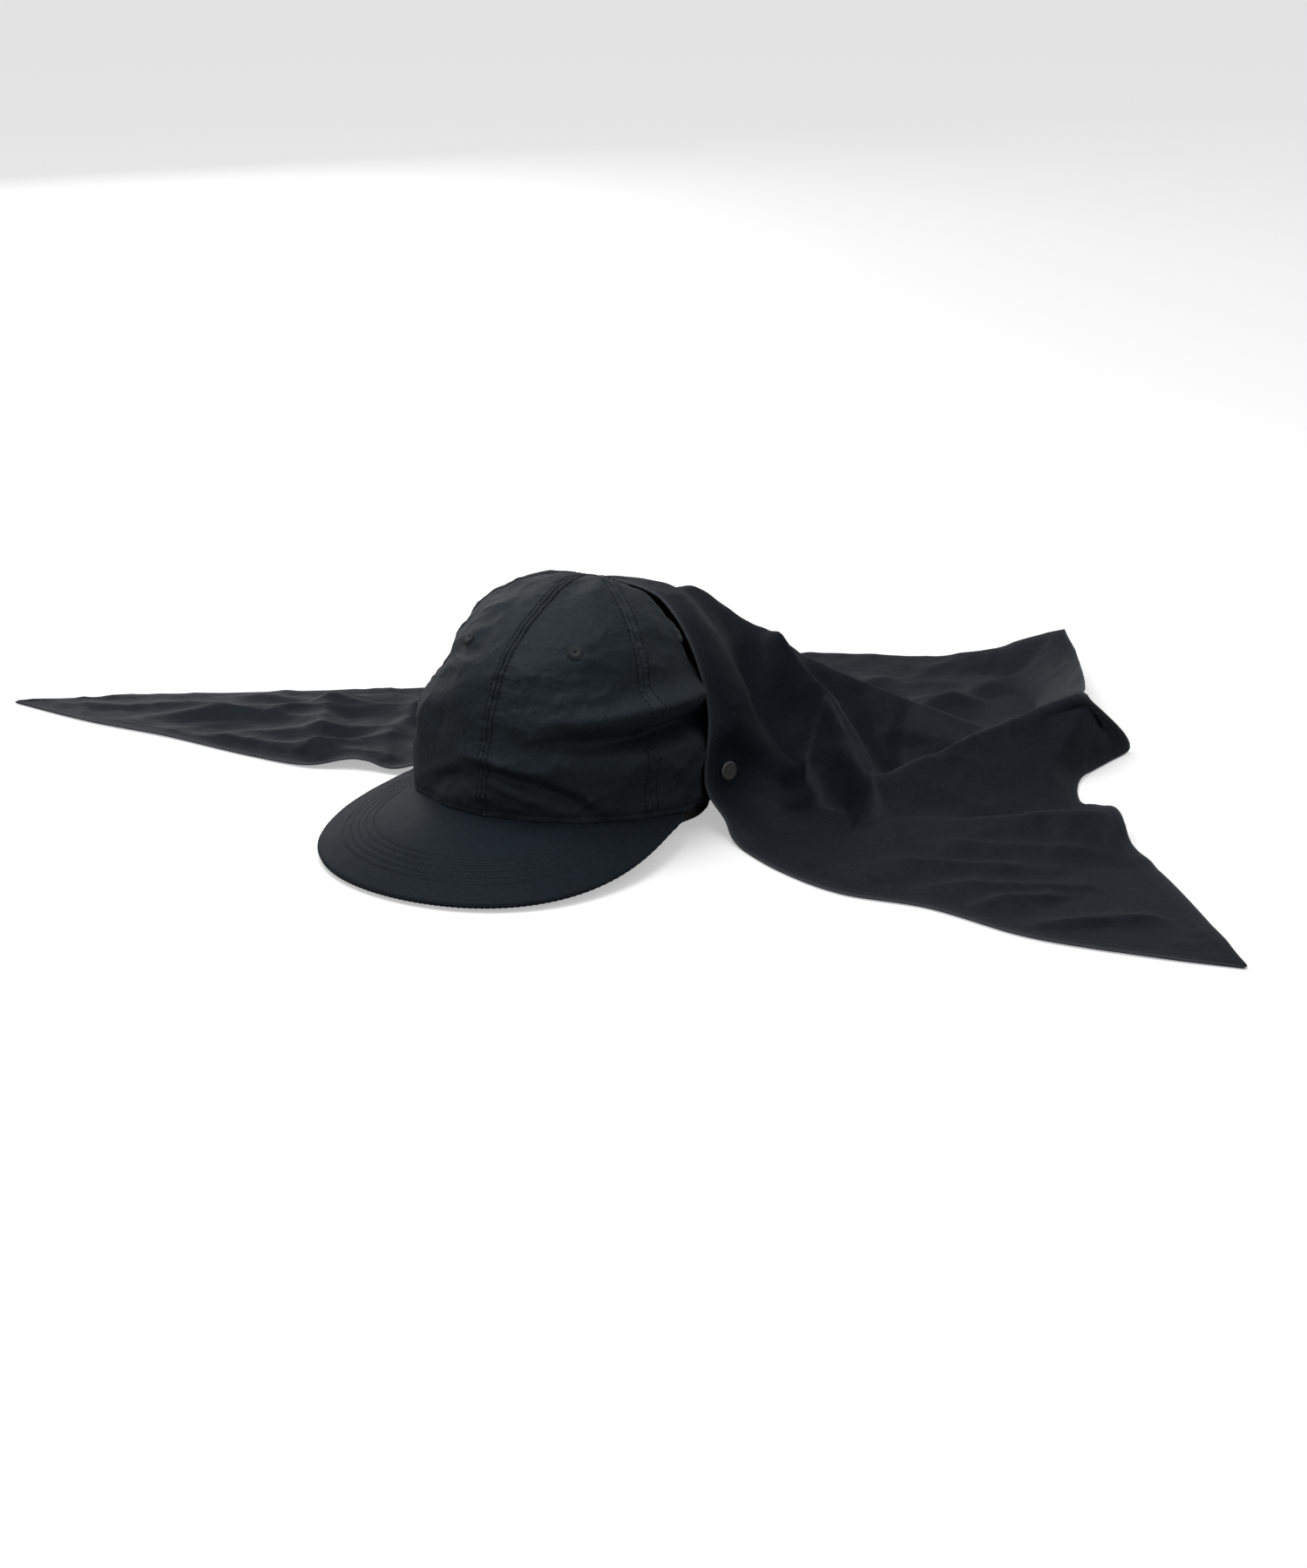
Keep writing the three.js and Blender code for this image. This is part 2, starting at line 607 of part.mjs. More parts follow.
const snapShares = snaps.map(({ seat }) => nearestShare(seat));
const edgeLength = frontEdge.getLength();
const columns = spacing(edgeLength, CAPE_GRID, snapShares, CAPE_SNAP_FADE, TIP_TRIM, 1 - TIP_TRIM);
const rows = spacing(CAPE_DEPTH, CAPE_ROW_GRID, [0], CAPE_SNAP_FADE + CAPE_SNAP_FLAT, 0, 1);

function capePoint(u, v) {
  const share = columns[Math.round(u * (columns.length - 1))];
  const along = rows[Math.round(v * (rows.length - 1))];
  const front = frontEdge.getPointAt(share);
  const trail = share < 0.5 ? leftTrail.getPointAt(2 * share) : rightTrail.getPointAt(2 * share - 1);
  const point = front.clone().lerp(trail, along);
  const tent = tentHeight(point.x, point.y);
  const fromEdge = smoothstep(along, 0, EDGE_BLEND);
  const toTrail = smoothstep(along, 1 - TRAIL_BLEND, 1);
  point.z = lerp(lerp(front.z, tent, fromEdge), trail.z, toTrail);
  const h = snapHeights();
  return squareToSnaps(point, (h.clothBottom + h.clothTop) / 2, CAPE_SNAP_FLAT, CAPE_SNAP_FADE);
}
const capeHalf = CAPE_THICKNESS / 2;
let cape = thickSheet(capePoint, columns.length - 1, rows.length - 1, -capeHalf, capeHalf);
for (const { axis, seat } of snaps) {
  const h = snapHeights();
  const centre = seat.clone().addScaledVector(axis, (h.clothBottom + h.clothTop) / 2);
  cape = drill(cape, centre, axis, SNAP_SHANK_RADIUS + GAP);
}
addPiece("cape_cloth", cape, capeFabric);

export default part;
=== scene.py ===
"""A soft panelled cap with a triangular sun cape, held over the back of its crown by two snaps.

Lengths are in millimetres until a mesh is made, and in metres after that. +Z is up, the brim
points along -Y and the wearer's left side along +X.
"""
import json
import math
import bpy
import numpy as np
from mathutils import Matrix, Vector, noise


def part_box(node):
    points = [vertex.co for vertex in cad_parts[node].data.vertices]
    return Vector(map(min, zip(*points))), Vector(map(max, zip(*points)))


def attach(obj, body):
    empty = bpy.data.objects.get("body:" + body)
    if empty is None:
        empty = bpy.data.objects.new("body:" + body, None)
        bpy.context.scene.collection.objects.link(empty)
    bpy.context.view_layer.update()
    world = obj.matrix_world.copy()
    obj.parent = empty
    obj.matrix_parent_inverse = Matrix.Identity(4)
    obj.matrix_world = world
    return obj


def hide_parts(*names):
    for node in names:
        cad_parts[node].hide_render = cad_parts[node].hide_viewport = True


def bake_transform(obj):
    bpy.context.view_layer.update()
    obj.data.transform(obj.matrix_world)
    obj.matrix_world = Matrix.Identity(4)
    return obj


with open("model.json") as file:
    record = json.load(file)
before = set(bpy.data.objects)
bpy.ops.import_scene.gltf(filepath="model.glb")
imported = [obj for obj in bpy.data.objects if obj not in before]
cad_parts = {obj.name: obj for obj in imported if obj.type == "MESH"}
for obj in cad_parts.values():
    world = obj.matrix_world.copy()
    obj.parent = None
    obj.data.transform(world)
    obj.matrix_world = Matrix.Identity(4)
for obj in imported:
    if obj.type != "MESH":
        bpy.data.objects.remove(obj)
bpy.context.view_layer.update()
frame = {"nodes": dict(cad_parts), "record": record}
MM = 0.001

# ---- Sizes that the frame gives ----


def node_box(name):
    low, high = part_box(name)
    return np.array(low) / MM, np.array(high) / MM


def snap_places():
    """The seat and axis of each snap: the middle of its stud's lower face, and the way it pulls off."""
    places = {}
    record = frame["record"]
    for side in ("left", "right"):
        joint = next(j for j in record["behaviour"]["joints"] if j["name"] == f"snap_{side}_pull")
        axis = np.array(joint["axis"], float)
        axis /= np.linalg.norm(axis)
        mount = next(m for m in record["mounts"] if m["name"] == f"snap_face_{side}")
        face = np.array(mount["pos_m"], float) / MM
        places[side] = (face - axis * CAP_TOP, axis)
    return places


# ---- Crown, as the CAD has it ----
HALF_LENGTH = -node_box("front_panel_left")[0][1]
HALF_WIDTH = 84.0
CROWN_HEIGHT = 140.0
BASE_HEIGHT = 16.0  # of the crown's lower edge at the sides
BASE_TILT = 0.13  # how fast that edge rises towards the front
APEX_SETBACK = 35.0  # the apex stands this far behind the middle
BACK_DROP = 0.0058  # the top falls by this times the square of the distance behind the middle
FRONT_FULLNESS = 2.65  # exponents of the crown's profile: 2 is round, and more is squarer
BACK_FULLNESS = 2.35
SEAMS = (0.0, 66.0, 126.0, 180.0, -126.0, -66.0)  # degrees from the front
ARCH_HALF_ANGLE = 26.0  # the rear opening
ARCH_HEIGHT = 45.0
APEX_RADIUS = 1.2  # the panels stop this far from the apex
SHELL = 0.7  # the crown's cloth and backing
SLACK = 1.3  # how far the loose cloth stands off on average
SEAM_STITCH = 4.6  # each row of stitches from its seam
EDGE_STITCH = 3.2  # the row round the crown's lower edge and the rear opening, from that edge
PUCKER = 1.1  # how deep the cloth gathers at a seam
PUCKER_REACH = 7.0
CREASE_GAIN = 1.4  # times every crease's height
SEAM_TOP = 9.0  # where stitches and tapes stop, from the apex
TAPE_HALF_WIDTH = 5.0
TAPE_DEPTH = 1.4
EYELET_LEVEL = 0.52  # from 0 at the crown's lower edge to 1 at its apex
EYELET_RADIUS = 4.7
EYELET_HOLE = 1.3
EYELET_THREADS = 44

# ---- Sweatband ----
BAND_INSET = 4.0
BAND_CLEARANCE = 1.6  # least room between the crown's outer face and the band
BAND_DROP = 9.0  # below the crown's lower edge
BAND_RISE = 14.0  # above it
BAND_END_ANGLE = 150.0
BAND_FLOOR = 0.6
BAND_HALF = 0.6  # half its thickness

# ---- Brim, as the CAD has it ----
BRIM_LENGTH = 75.0  # out from the crown at the middle
BRIM_END_LENGTH = 7.8  # and at its ends
BRIM_HALF_ANGLE = 82.0
BRIM_SPREAD = 0.37  # how far the brim's lines fan out, as a share of their angle round the crown
BRIM_TURN = -9.7  # degrees: the brim lies turned to the wearer's right
BRIM_CORNER = 3.95  # exponent of its outline: more is squarer
BRIM_EDGE_HEIGHT = 4.0
BRIM_END_RISE = 14.5
BRIM_CROWNING = 3.0  # how far its middle bulges up
BRIM_THICKNESS = 3.4
BRIM_ROWS = (14.5, 19.0, 23.5, 28.0, 32.5)  # stitch rows, in from the brim's edge

# ---- Snaps: heights above the crown's outer face ----
STUD_BASE = 0.3
STUD_TOP = 3.5
SOCKET_BOTTOM = 1.4
SOCKET_TOP = 4.6
CLOTH_MIDDLE = 5.4
CAP_BOTTOM = 6.2
CAP_TOP = 7.3
SNAP_RADIUS = 6.0

# ---- Cape ----
CAPE_HALF = 0.25  # half the cloth's thickness
HEM_WIDTH = 9.0
HEM_EXTRA = 0.45  # added to that half where the hem is turned over
CAPE_FLOOR = 0.9  # lowest height of its middle surface
CAPE_STANDOFF = 3.2  # from the crown, along the front edge
TENT_RISE = 3.0  # over the crown's top
TENT_REACH = 1.03
SPREAD_SHARP = 9.0  # how steeply the cape falls from the crown on the wearer's right
SPREAD_SOFT = 5.5  # and on the left
RIDGE_WIDTH = 15.0
FOLD_MEETING = 4.5  # how sharply folds meet in their valleys
CAPE_LEG = 0.5  # half the front edge of the flat cape, and its depth, in metres
HEM_LINES = (0, 0.5, 1.4, 4, 7.6, 8.4, 9.4)  # lines of the cape's grid, in from its edge
HEM_STITCH = 4  # the hem line that is sewn
HEM_TAPER = 60.0  # where the cape is narrower than this, its hem narrows with it
TRAIL_SLANT = 0.707  # across the trailing hem, for each millimetre along the grid
CAPE_SLACK = 1.2  # how far the loose cloth stands off on average
CAPE_CREASE_GAIN = 1.9  # times every crease's height
CAPE_CREASE_SPREAD = 1.3  # and its width
STITCH_PITCH = 3.0
STITCH_LENGTH = 2.1
STITCH_RADIUS = 0.17

# ---- Room ----
ROOM_LIGHT = 0.36  # what the white room sheds on the cap
FLOOR_GLOW = 0.42  # what the floor adds to its own brightness, for the camera alone
CAMERA_TURN = 28.0
CAMERA_LIFT = 20.0
CAMERA_DISTANCE = 1.8
CAMERA_LENS = 84.2
CAMERA_SHIFT = 0.0667


# ---- Small helpers ----


def smooth(x, low, high):
    t = np.clip((x - low) / (high - low), 0, 1)
    return t * t * (3 - 2 * t)


def lerp(a, b, t):
    return a + (b - a) * t


def bell(x, middle, width):
    """1 at the middle, falling to about a third at width from it."""
    return np.exp(-(((x - middle) / width) ** 2))


def unit(v):
    return v / np.maximum(np.linalg.norm(v, axis=-1, keepdims=True), 1e-9)


def fractal(points, scale, seed, octaves=3):
    """Smooth noise from -1 to 1 at each point, with features about scale millimetres across."""
    shape = points.shape[:-1]
    flat = points.reshape(-1, 3) / scale + seed * 17.3
    values = [noise.fractal(Vector(p), 0.9, 2.0, octaves) for p in flat]
    return np.array(values).reshape(shape)


def grid_normals(grid):
    along = np.gradient(grid, axis=0)
    across = np.gradient(grid, axis=1)
    return unit(np.cross(along, across))


def new_object(name, vertices, faces, material, uv=None):
    """A mesh object from points in millimetres, with its own UV map in millimetres."""
    mesh = bpy.data.meshes.new(name)
    mesh.from_pydata((np.asarray(vertices) * MM).tolist(), [], faces)
    if uv is not None:
        layer = mesh.uv_layers.new(name="cloth")
        loops = np.empty(len(mesh.loops), int)
        mesh.loops.foreach_get("vertex_index", loops)
        layer.data.foreach_set("uv", np.asarray(uv)[loops].astype(np.float32).ravel())
    mesh.polygons.foreach_set("use_smooth", [True] * len(mesh.polygons))
    mesh.materials.append(material)
    mesh.update()
    obj = bpy.data.objects.new(name, mesh)
    bpy.context.scene.collection.objects.link(obj)
    return obj


def sheet_faces(cols, rows, offset, flip):
    i, j = np.meshgrid(np.arange(cols - 1), np.arange(rows - 1), indexing="ij")
    a = (i * rows + j).ravel() + offset
    quads = np.stack([a, a + rows, a + rows + 1, a + 1], 1)
    return quads[:, ::-1] if flip else quads


def rim_indices(cols, rows):
    """The grid's border as one loop of indices, in order."""
    first = [i * rows for i in range(cols)]
    second = [(cols - 1) * rows + j for j in range(1, rows)]
    third = [i * rows + rows - 1 for i in range(cols - 2, -1, -1)]
    fourth = [j for j in range(rows - 2, 0, -1)]
    return first + second + third + fourth


def thick_cloth(name, grid, half, material, uv=None, normals=None):
    """A closed sheet between grid + normal * half and grid - normal * half; half may vary."""
    cols, rows = grid.shape[:2]
    normals = grid_normals(grid) if normals is None else normals
    half = np.broadcast_to(np.asarray(half, float), (cols, rows))[..., None]
    top = (grid + normals * half).reshape(-1, 3)
    bottom = (grid - normals * half).reshape(-1, 3)
    count = cols * rows
    faces = sheet_faces(cols, rows, 0, False).tolist() + sheet_faces(cols, rows, count, True).tolist()
    rim = rim_indices(cols, rows)
    for a, b in zip(rim, rim[1:] + rim[:1]):
        faces.append([b, a, a + count, b + count])
    coords = None
    if uv is not None:
        coords = np.concatenate([uv.reshape(-1, 2), uv.reshape(-1, 2) + 3.1])
    obj = new_object(name, np.concatenate([top, bottom]), faces, material, coords)
    crisp_rim(obj, rim, count)
    return obj


def crisp_rim(obj, rim, count):
    """Marks the edges between the two faces of a sheet and its cut edge as sharp."""
    keys = {tuple(sorted(pair)) for pair in zip(rim, rim[1:] + rim[:1])}
    keys |= {(a + count, b + count) for a, b in keys}
    for edge in obj.data.edges:
        if tuple(sorted(edge.vertices)) in keys:
            edge.use_edge_sharp = True


# ---- Crown surface ----


def base_point(angle):
    turn = np.radians(angle)
    x = HALF_WIDTH * np.sin(turn)
    y = -HALF_LENGTH * np.cos(turn)
    return np.stack([x, y, BASE_HEIGHT - BASE_TILT * y], -1)


def fullness(angle):
    return lerp(FRONT_FULLNESS, BACK_FULLNESS, (1 - np.cos(np.radians(angle))) / 2)


def top_height(y):
    return CROWN_HEIGHT - BACK_DROP * np.maximum(0, y) ** 2


def crown_surface(angle, level):
    """The crown's plain outer surface: level is 0 at its lower edge and 1 at the apex."""
    angle, level = np.broadcast_arrays(np.asarray(angle, float), np.asarray(level, float))
    base = base_point(angle)
    power = 2 / fullness(angle)
    reach = np.cos(level * np.pi / 2) ** power
    rise = np.sin(level * np.pi / 2) ** power
    x = base[..., 0] * reach
    y = lerp(APEX_SETBACK, base[..., 1], reach)
    return np.stack([x, y, lerp(base[..., 2], top_height(y), rise)], -1)


def crown_normal(angle, level):
    step = 0.004
    level = np.clip(level, step, 0.985)
    along = crown_surface(angle + 0.4, level) - crown_surface(angle - 0.4, level)
    up = crown_surface(angle, level + step) - crown_surface(angle, level - step)
    return unit(np.cross(along, up))


def level_at_rise(angle, height):
    base = base_point(np.asarray(angle, float))
    share = height / (top_height(base[..., 1]) - base[..., 2])
    return np.arcsin(np.clip(share, 0, 1) ** (fullness(angle) / 2)) / (np.pi / 2)


def level_at_radius(angle, distance):
    base = base_point(np.asarray(angle, float))
    span = np.hypot(base[..., 0], base[..., 1] - APEX_SETBACK)
    return np.arccos((distance / span) ** (fullness(angle) / 2)) / (np.pi / 2)


def arch_height(angle):
    across = (180 - np.abs(angle)) / ARCH_HALF_ANGLE
    return np.where(across < 1, ARCH_HEIGHT * np.sqrt(np.clip(1 - across**2, 0, 1)), 0.0)


# Soft dents and swells: angle and level of the middle, half sizes of both, depth in mm, and how
# far the level changes per degree along it.
DENTS = (
    (66, 0.200, 34, 0.034, -9.5, 0.0004),
    (92, 0.208, 26, 0.040, -9.0, 0.0),
    (58, 0.272, 34, 0.042, 6.0, 0.0006),
    (86, 0.284, 22, 0.042, 5.4, 0.0),
    (57, 0.120, 30, 0.040, 2.6, 0.0),
    (52, 0.380, 22, 0.080, -2.0, 0.0),
    (-64, 0.37, 22, 0.10, -4.0, 0.0),
    (-74, 0.52, 20, 0.10, -2.0, 0.0),
    (15, 0.072, 16, 0.019, -4.2, -0.0018),
    (33, 0.038, 10, 0.016, -3.8, -0.0028),
    (-14, 0.058, 14, 0.022, -4.0, 0.0022),
    (10, 0.106, 14, 0.016, 2.0, -0.0010),
    (0, 0.125, 16, 0.035, 2.4, 0.0),
    (14, 0.045, 14, 0.018, 1.8, -0.002),
    (-46, 0.40, 20, 0.10, -2.0, 0.0),
    (-42, 0.17, 13, 0.10, 3.4, 0.0),
    (-30, 0.46, 16, 0.05, -1.6, 0.003),
    (-22, 0.30, 9, 0.08, 1.4, 0.0),
    (-26, 0.17, 8, 0.14, -2.4, 0.004),
    (94, 0.020, 5, 0.030, -2.6, 0.004),
    (80, 0.035, 8, 0.030, 1.4, 0.0),
    (112, 0.55, 12, 0.17, -6.5, 0.004),
    (99, 0.60, 7, 0.20, 2.6, 0.004),
    (-100, 0.30, 30, 0.07, -4.0, 0.0),
    (-95, 0.50, 26, 0.06, -2.5, 0.0008),
    (150, 0.60, 22, 0.06, -2.5, 0.0),
    (-150, 0.58, 24, 0.07, -2.8, 0.0),
    (8, 0.80, 16, 0.07, -1.2, 0.0),
    (40, 0.82, 10, 0.06, 1.0, 0.002),
)
# Sharper creases: from (angle, level) to (angle, level), height in mm and width in mm.
CREASES = (
    ((14, 0.19), (30, 0.222), 1.2, 4.0),
    ((30, 0.235), (104, 0.262), 1.4, 5.0),
    ((-22, 0.03), (-3, 0.092), 1.2, 3.0),
    ((4, 0.098), (38, 0.030), 1.5, 3.0),
    ((36, 0.012), (43, 0.045), 1.3, 2.4),
    ((-48, 0.60), (-22, 0.72), 1.0, 4.0),
    ((-52, 0.42), (-20, 0.60), 1.1, 4.0),
    ((-58, 0.32), (-30, 0.40), 0.9, 4.0),
    ((-40, 0.10), (-38, 0.30), 1.0, 4.0),
    ((6, 0.40), (20, 0.43), 0.5, 3.5),
    ((20, 0.30), (52, 0.36), 0.6, 4.0),
    ((96, 0.83), (118, 0.42), 2.0, 5.0),
    ((92, 0.002), (98, 0.045), 1.4, 2.6),
    ((70, 0.07), (95, 0.14), 0.7, 3.0),
    ((-90, 0.12), (-120, 0.25), 1.0, 4.0),
    ((130, 0.42), (172, 0.52), 1.0, 4.0),
    ((-132, 0.70), (-170, 0.45), 1.0, 4.0),
)


def angle_gap(a, b):
    return (a - b + 180) % 360 - 180


def seam_distance(angle, radius):
    """The nearest seam's number, and the distance from it in millimetres."""
    gaps = np.stack([np.abs(angle_gap(angle, seam)) for seam in SEAMS])
    nearest = gaps.argmin(0)
    return nearest, np.radians(gaps.min(0)) * radius


def crown_relief(angle, level, plain):
    """How far the soft crown stands off its plain surface."""
    radius = np.hypot(plain[..., 0], plain[..., 1] - APEX_SETBACK)
    relief = np.zeros_like(level)
    for middle, height, wide, tall, depth, slant in DENTS:
        across = angle_gap(angle, middle)
        up = level - height - slant * across
        relief += depth * bell(across, 0, wide) * bell(up, 0, tall)
    for (a0, l0), (a1, l1), height, width in CREASES:
        start, end = crown_surface(a0, l0), crown_surface(a1, l1)
        relief += CREASE_GAIN * height * crease(plain, start, end, width)
    relief += SLACK + 1.1 * fractal(plain * np.array([1, 1, 1.6]), 46, 1)
    relief += 0.35 * fractal(plain * np.array([1, 1, 2.2]), 16, 2)
    nearest, away = seam_distance(angle, radius)
    pucker = fractal(plain * np.array([0.6, 0.6, 1.5]) + nearest[..., None] * 90.0, 6.5, 3, 2)
    relief += PUCKER * pucker * bell(away, 0, PUCKER_REACH) * smooth(radius, 4, 30)
    relief -= 2.4 * np.abs(fractal(plain * np.array([1, 1, 1.7]), 55, 5, 2))
    relief -= 0.8 * np.abs(fractal(plain * np.array([1, 1, 1.5]), 22, 6, 2))
    relief += 0.45 * bell(away, SEAM_STITCH / 2 + 0.1, 1.9)
    relief -= 0.55 * bell(away, 0, 0.6)
    relief -= 0.6 * bell(away, SEAM_STITCH, 0.8)
    above_edge = plain[..., 2] - base_point(angle)[..., 2]
    return relief - 0.45 * bell(above_edge, EDGE_STITCH, 0.8)


def crease(points, start, end, width):
    """1 on the line from start to end, falling away on both sides and fading at its ends."""
    run = end - start
    share = ((points - start) @ run) / (run @ run)
    foot = start + np.clip(share, 0, 1)[..., None] * run
    away = np.linalg.norm(points - foot, axis=-1)
    fade = smooth(share, -0.05, 0.3) * (1 - smooth(share, 0.7, 1.05))
    return np.exp(-np.abs(away / width) ** 1.5) * fade


def square_to_snaps(points, height, flat=8.0, fade=26.0, reach=60.0):
    """Draws points onto the plane that stands at height over each snap's seat.

    All of them within flat of the snap's axis are drawn, none past fade, and none that are further
    than reach along the axis, such as those on the crown's other side.
    """
    for seat, axis in SNAPS.values():
        offset = points - seat
        above = offset @ axis
        away = np.linalg.norm(offset - above[..., None] * axis, axis=-1)
        share = (1 - smooth(away, flat, fade)) * (np.abs(above) < reach)
        points = points + ((height - above) * share)[..., None] * axis
    return points


SNAPS = snap_places()


def crown_points(angle, level, lift=0.0):
    """Points on the soft crown, lift millimetres out from its face."""
    plain = crown_surface(angle, level)
    normal = crown_normal(angle, level)
    shaped = plain + normal * crown_relief(angle, level, plain)[..., None]
    shaped = square_to_snaps(shaped, 0.0)
    return shaped + normal * lift


# ---- Materials ----


def make_group(name, inputs, outputs):
    tree = bpy.data.node_groups.new(name, "ShaderNodeTree")
    for label, kind, value in inputs:
        socket = tree.interface.new_socket(name=label, in_out="INPUT", socket_type=kind)
        socket.default_value = value
    for label, kind in outputs:
        tree.interface.new_socket(name=label, in_out="OUTPUT", socket_type=kind)
    return tree, tree.nodes.new("NodeGroupInput"), tree.nodes.new("NodeGroupOutput")


def math_node(tree, operation, a, b=None, clamp=False):
    node = tree.nodes.new("ShaderNodeMath")
    node.operation = operation
    node.use_clamp = clamp
    for socket, value in zip(node.inputs, (a, b)):
        if value is None:
            continue
        if isinstance(value, (int, float)):
            socket.default_value = value
        else:
            tree.links.new(value, socket)
    return node.outputs[0]


def color_mix(tree, factor, low, high):
    """A colour from low to high; each is a colour or another node's output."""
    node = tree.nodes.new("ShaderNodeMix")
    node.data_type = "RGBA"
    tree.links.new(factor, node.inputs["Factor"])
    for socket, value in ((node.inputs[6], low), (node.inputs[7], high)):
        if isinstance(value, tuple):
            socket.default_value = (*value, 1)
        else:
            tree.links.new(value, socket)
    return node.outputs[2]


def grain_noise(tree, detail, scale=None):
    """A noise texture that stays with the piece."""
    coordinates = tree.nodes.new("ShaderNodeTexCoord")
    node = tree.nodes.new("ShaderNodeTexNoise")
    node.inputs["Detail"].default_value = detail
    if scale is not None:
        node.inputs["Scale"].default_value = scale
    tree.links.new(coordinates.outputs["Object"], node.inputs["Vector"])
    return node


def bump_node(tree, height, strength, distance, normal=None):
    node = tree.nodes.new("ShaderNodeBump")
    node.inputs["Strength"].default_value = strength
    node.inputs["Distance"].default_value = distance
    tree.links.new(height, node.inputs["Height"])
    if normal is not None:
        tree.links.new(normal, node.inputs["Normal"])
    return node.outputs["Normal"]


def scaled_sum(tree, value, factor, addend):
    """value * factor + addend"""
    output = math_node(tree, "MULTIPLY_ADD", value, factor)
    output.node.inputs[2].default_value = addend
    return output


def plain_weave():
    """Over-and-under threads on the piece's own UV map, with slubs and soft mottling."""
    tree, start, end = make_group(
        "plain_weave",
        [
            ("Pitch", "NodeSocketFloat", 0.7),
            ("Dark", "NodeSocketColor", (0.01, 0.01, 0.01, 1)),
            ("Light", "NodeSocketColor", (0.03, 0.03, 0.03, 1)),
            ("Mottle", "NodeSocketFloat", 0.5),
        ],
        [("Color", "NodeSocketColor"), ("Roughness", "NodeSocketFloat"), ("Height", "NodeSocketFloat")],
    )
    link = tree.links.new
    uv = tree.nodes.new("ShaderNodeUVMap")
    uv.uv_map = "cloth"
    split = tree.nodes.new("ShaderNodeSeparateXYZ")
    link(uv.outputs[0], split.inputs[0])
    waves = []
    for axis in (0, 1):
        scaled = math_node(tree, "DIVIDE", split.outputs[axis], start.outputs["Pitch"])
        waves.append(math_node(tree, "SINE", math_node(tree, "MULTIPLY", scaled, math.pi)))
    threads = math_node(tree, "ABSOLUTE", math_node(tree, "MULTIPLY", waves[0], waves[1]))
    broad = grain_noise(tree, 4, 22).outputs[0]
    fine = grain_noise(tree, 3, 480).outputs[0]
    mottling = math_node(tree, "MULTIPLY", math_node(tree, "SUBTRACT", broad, 0.5), start.outputs["Mottle"])
    shade = math_node(tree, "ADD", scaled_sum(tree, threads, 0.45, 0.2), mottling)
    grain = math_node(tree, "MULTIPLY", math_node(tree, "SUBTRACT", fine, 0.5), 1.1)
    shade = math_node(tree, "ADD", shade, grain, clamp=True)
    link(color_mix(tree, shade, start.outputs["Dark"], start.outputs["Light"]), end.inputs["Color"])
    link(scaled_sum(tree, broad, 0.16, 0.52), end.inputs["Roughness"])
    link(threads, end.inputs["Height"])
    return tree


def wrinkle_noise():
    """Fine crumple marks, as a height."""
    tree, start, end = make_group(
        "crumple",
        [("Scale", "NodeSocketFloat", 60.0), ("Stretch", "NodeSocketFloat", 2.0)],
        [("Height", "NodeSocketFloat")],
    )
    link = tree.links.new
    texture = grain_noise(tree, 5)
    texture.inputs["Roughness"].default_value = 0.55
    link(start.outputs["Scale"], texture.inputs["Scale"])
    link(start.outputs["Stretch"], texture.inputs["Distortion"])
    ridge = math_node(tree, "ABSOLUTE", math_node(tree, "SUBTRACT", texture.outputs[0], 0.5))
    link(math_node(tree, "MULTIPLY", ridge, -2.0), end.inputs["Height"])
    return tree


WEAVE = plain_weave()
CRUMPLE = wrinkle_noise()
# Lighter colour at the cloth's edges: partly wear, partly a painted highlight along the rounded hems and
# the brim's rim.
EDGE_WEAR_AND_HIGHLIGHT_COLOR = (0.075, 0.085, 0.095)


def woven_cloth(name, dark, light, pitch=0.7, mottle=0.5, sheen=0.04, crumple=0.5, gloss=0.26):
    material = bpy.data.materials.new(name)
    material.use_nodes = True
    tree = material.node_tree
    link = tree.links.new
    shader = tree.nodes["Principled BSDF"]
    shader.inputs["Sheen Weight"].default_value = sheen
    shader.inputs["Sheen Roughness"].default_value = 0.35
    shader.inputs["Sheen Tint"].default_value = (0.72, 0.80, 0.88, 1)
    shader.inputs["Specular IOR Level"].default_value = gloss
    shader.inputs["Specular Tint"].default_value = (0.78, 0.93, 1.0, 1)
    weave = tree.nodes.new("ShaderNodeGroup")
    weave.node_tree = WEAVE
    weave.inputs["Pitch"].default_value = pitch
    weave.inputs["Dark"].default_value = (*dark, 1)
    weave.inputs["Light"].default_value = (*light, 1)
    weave.inputs["Mottle"].default_value = mottle
    # Mixes in the lighter edge colour: partly wear, partly a painted highlight.
    attribute = tree.nodes.new("ShaderNodeAttribute")
    attribute.attribute_name = "edge_wear_and_highlight"
    color = color_mix(tree, attribute.outputs["Fac"], weave.outputs["Color"], EDGE_WEAR_AND_HIGHLIGHT_COLOR)
    link(color, shader.inputs["Base Color"])
    link(weave.outputs["Roughness"], shader.inputs["Roughness"])
    creases = tree.nodes.new("ShaderNodeGroup")
    creases.node_tree = CRUMPLE
    creases.inputs["Scale"].default_value = 42
    creases.inputs["Stretch"].default_value = 0.15
    low = bump_node(tree, creases.outputs["Height"], crumple, 0.0012)
    high = bump_node(tree, weave.outputs["Height"], 0.35, 0.00012, low)
    link(high, shader.inputs["Normal"])
    return material


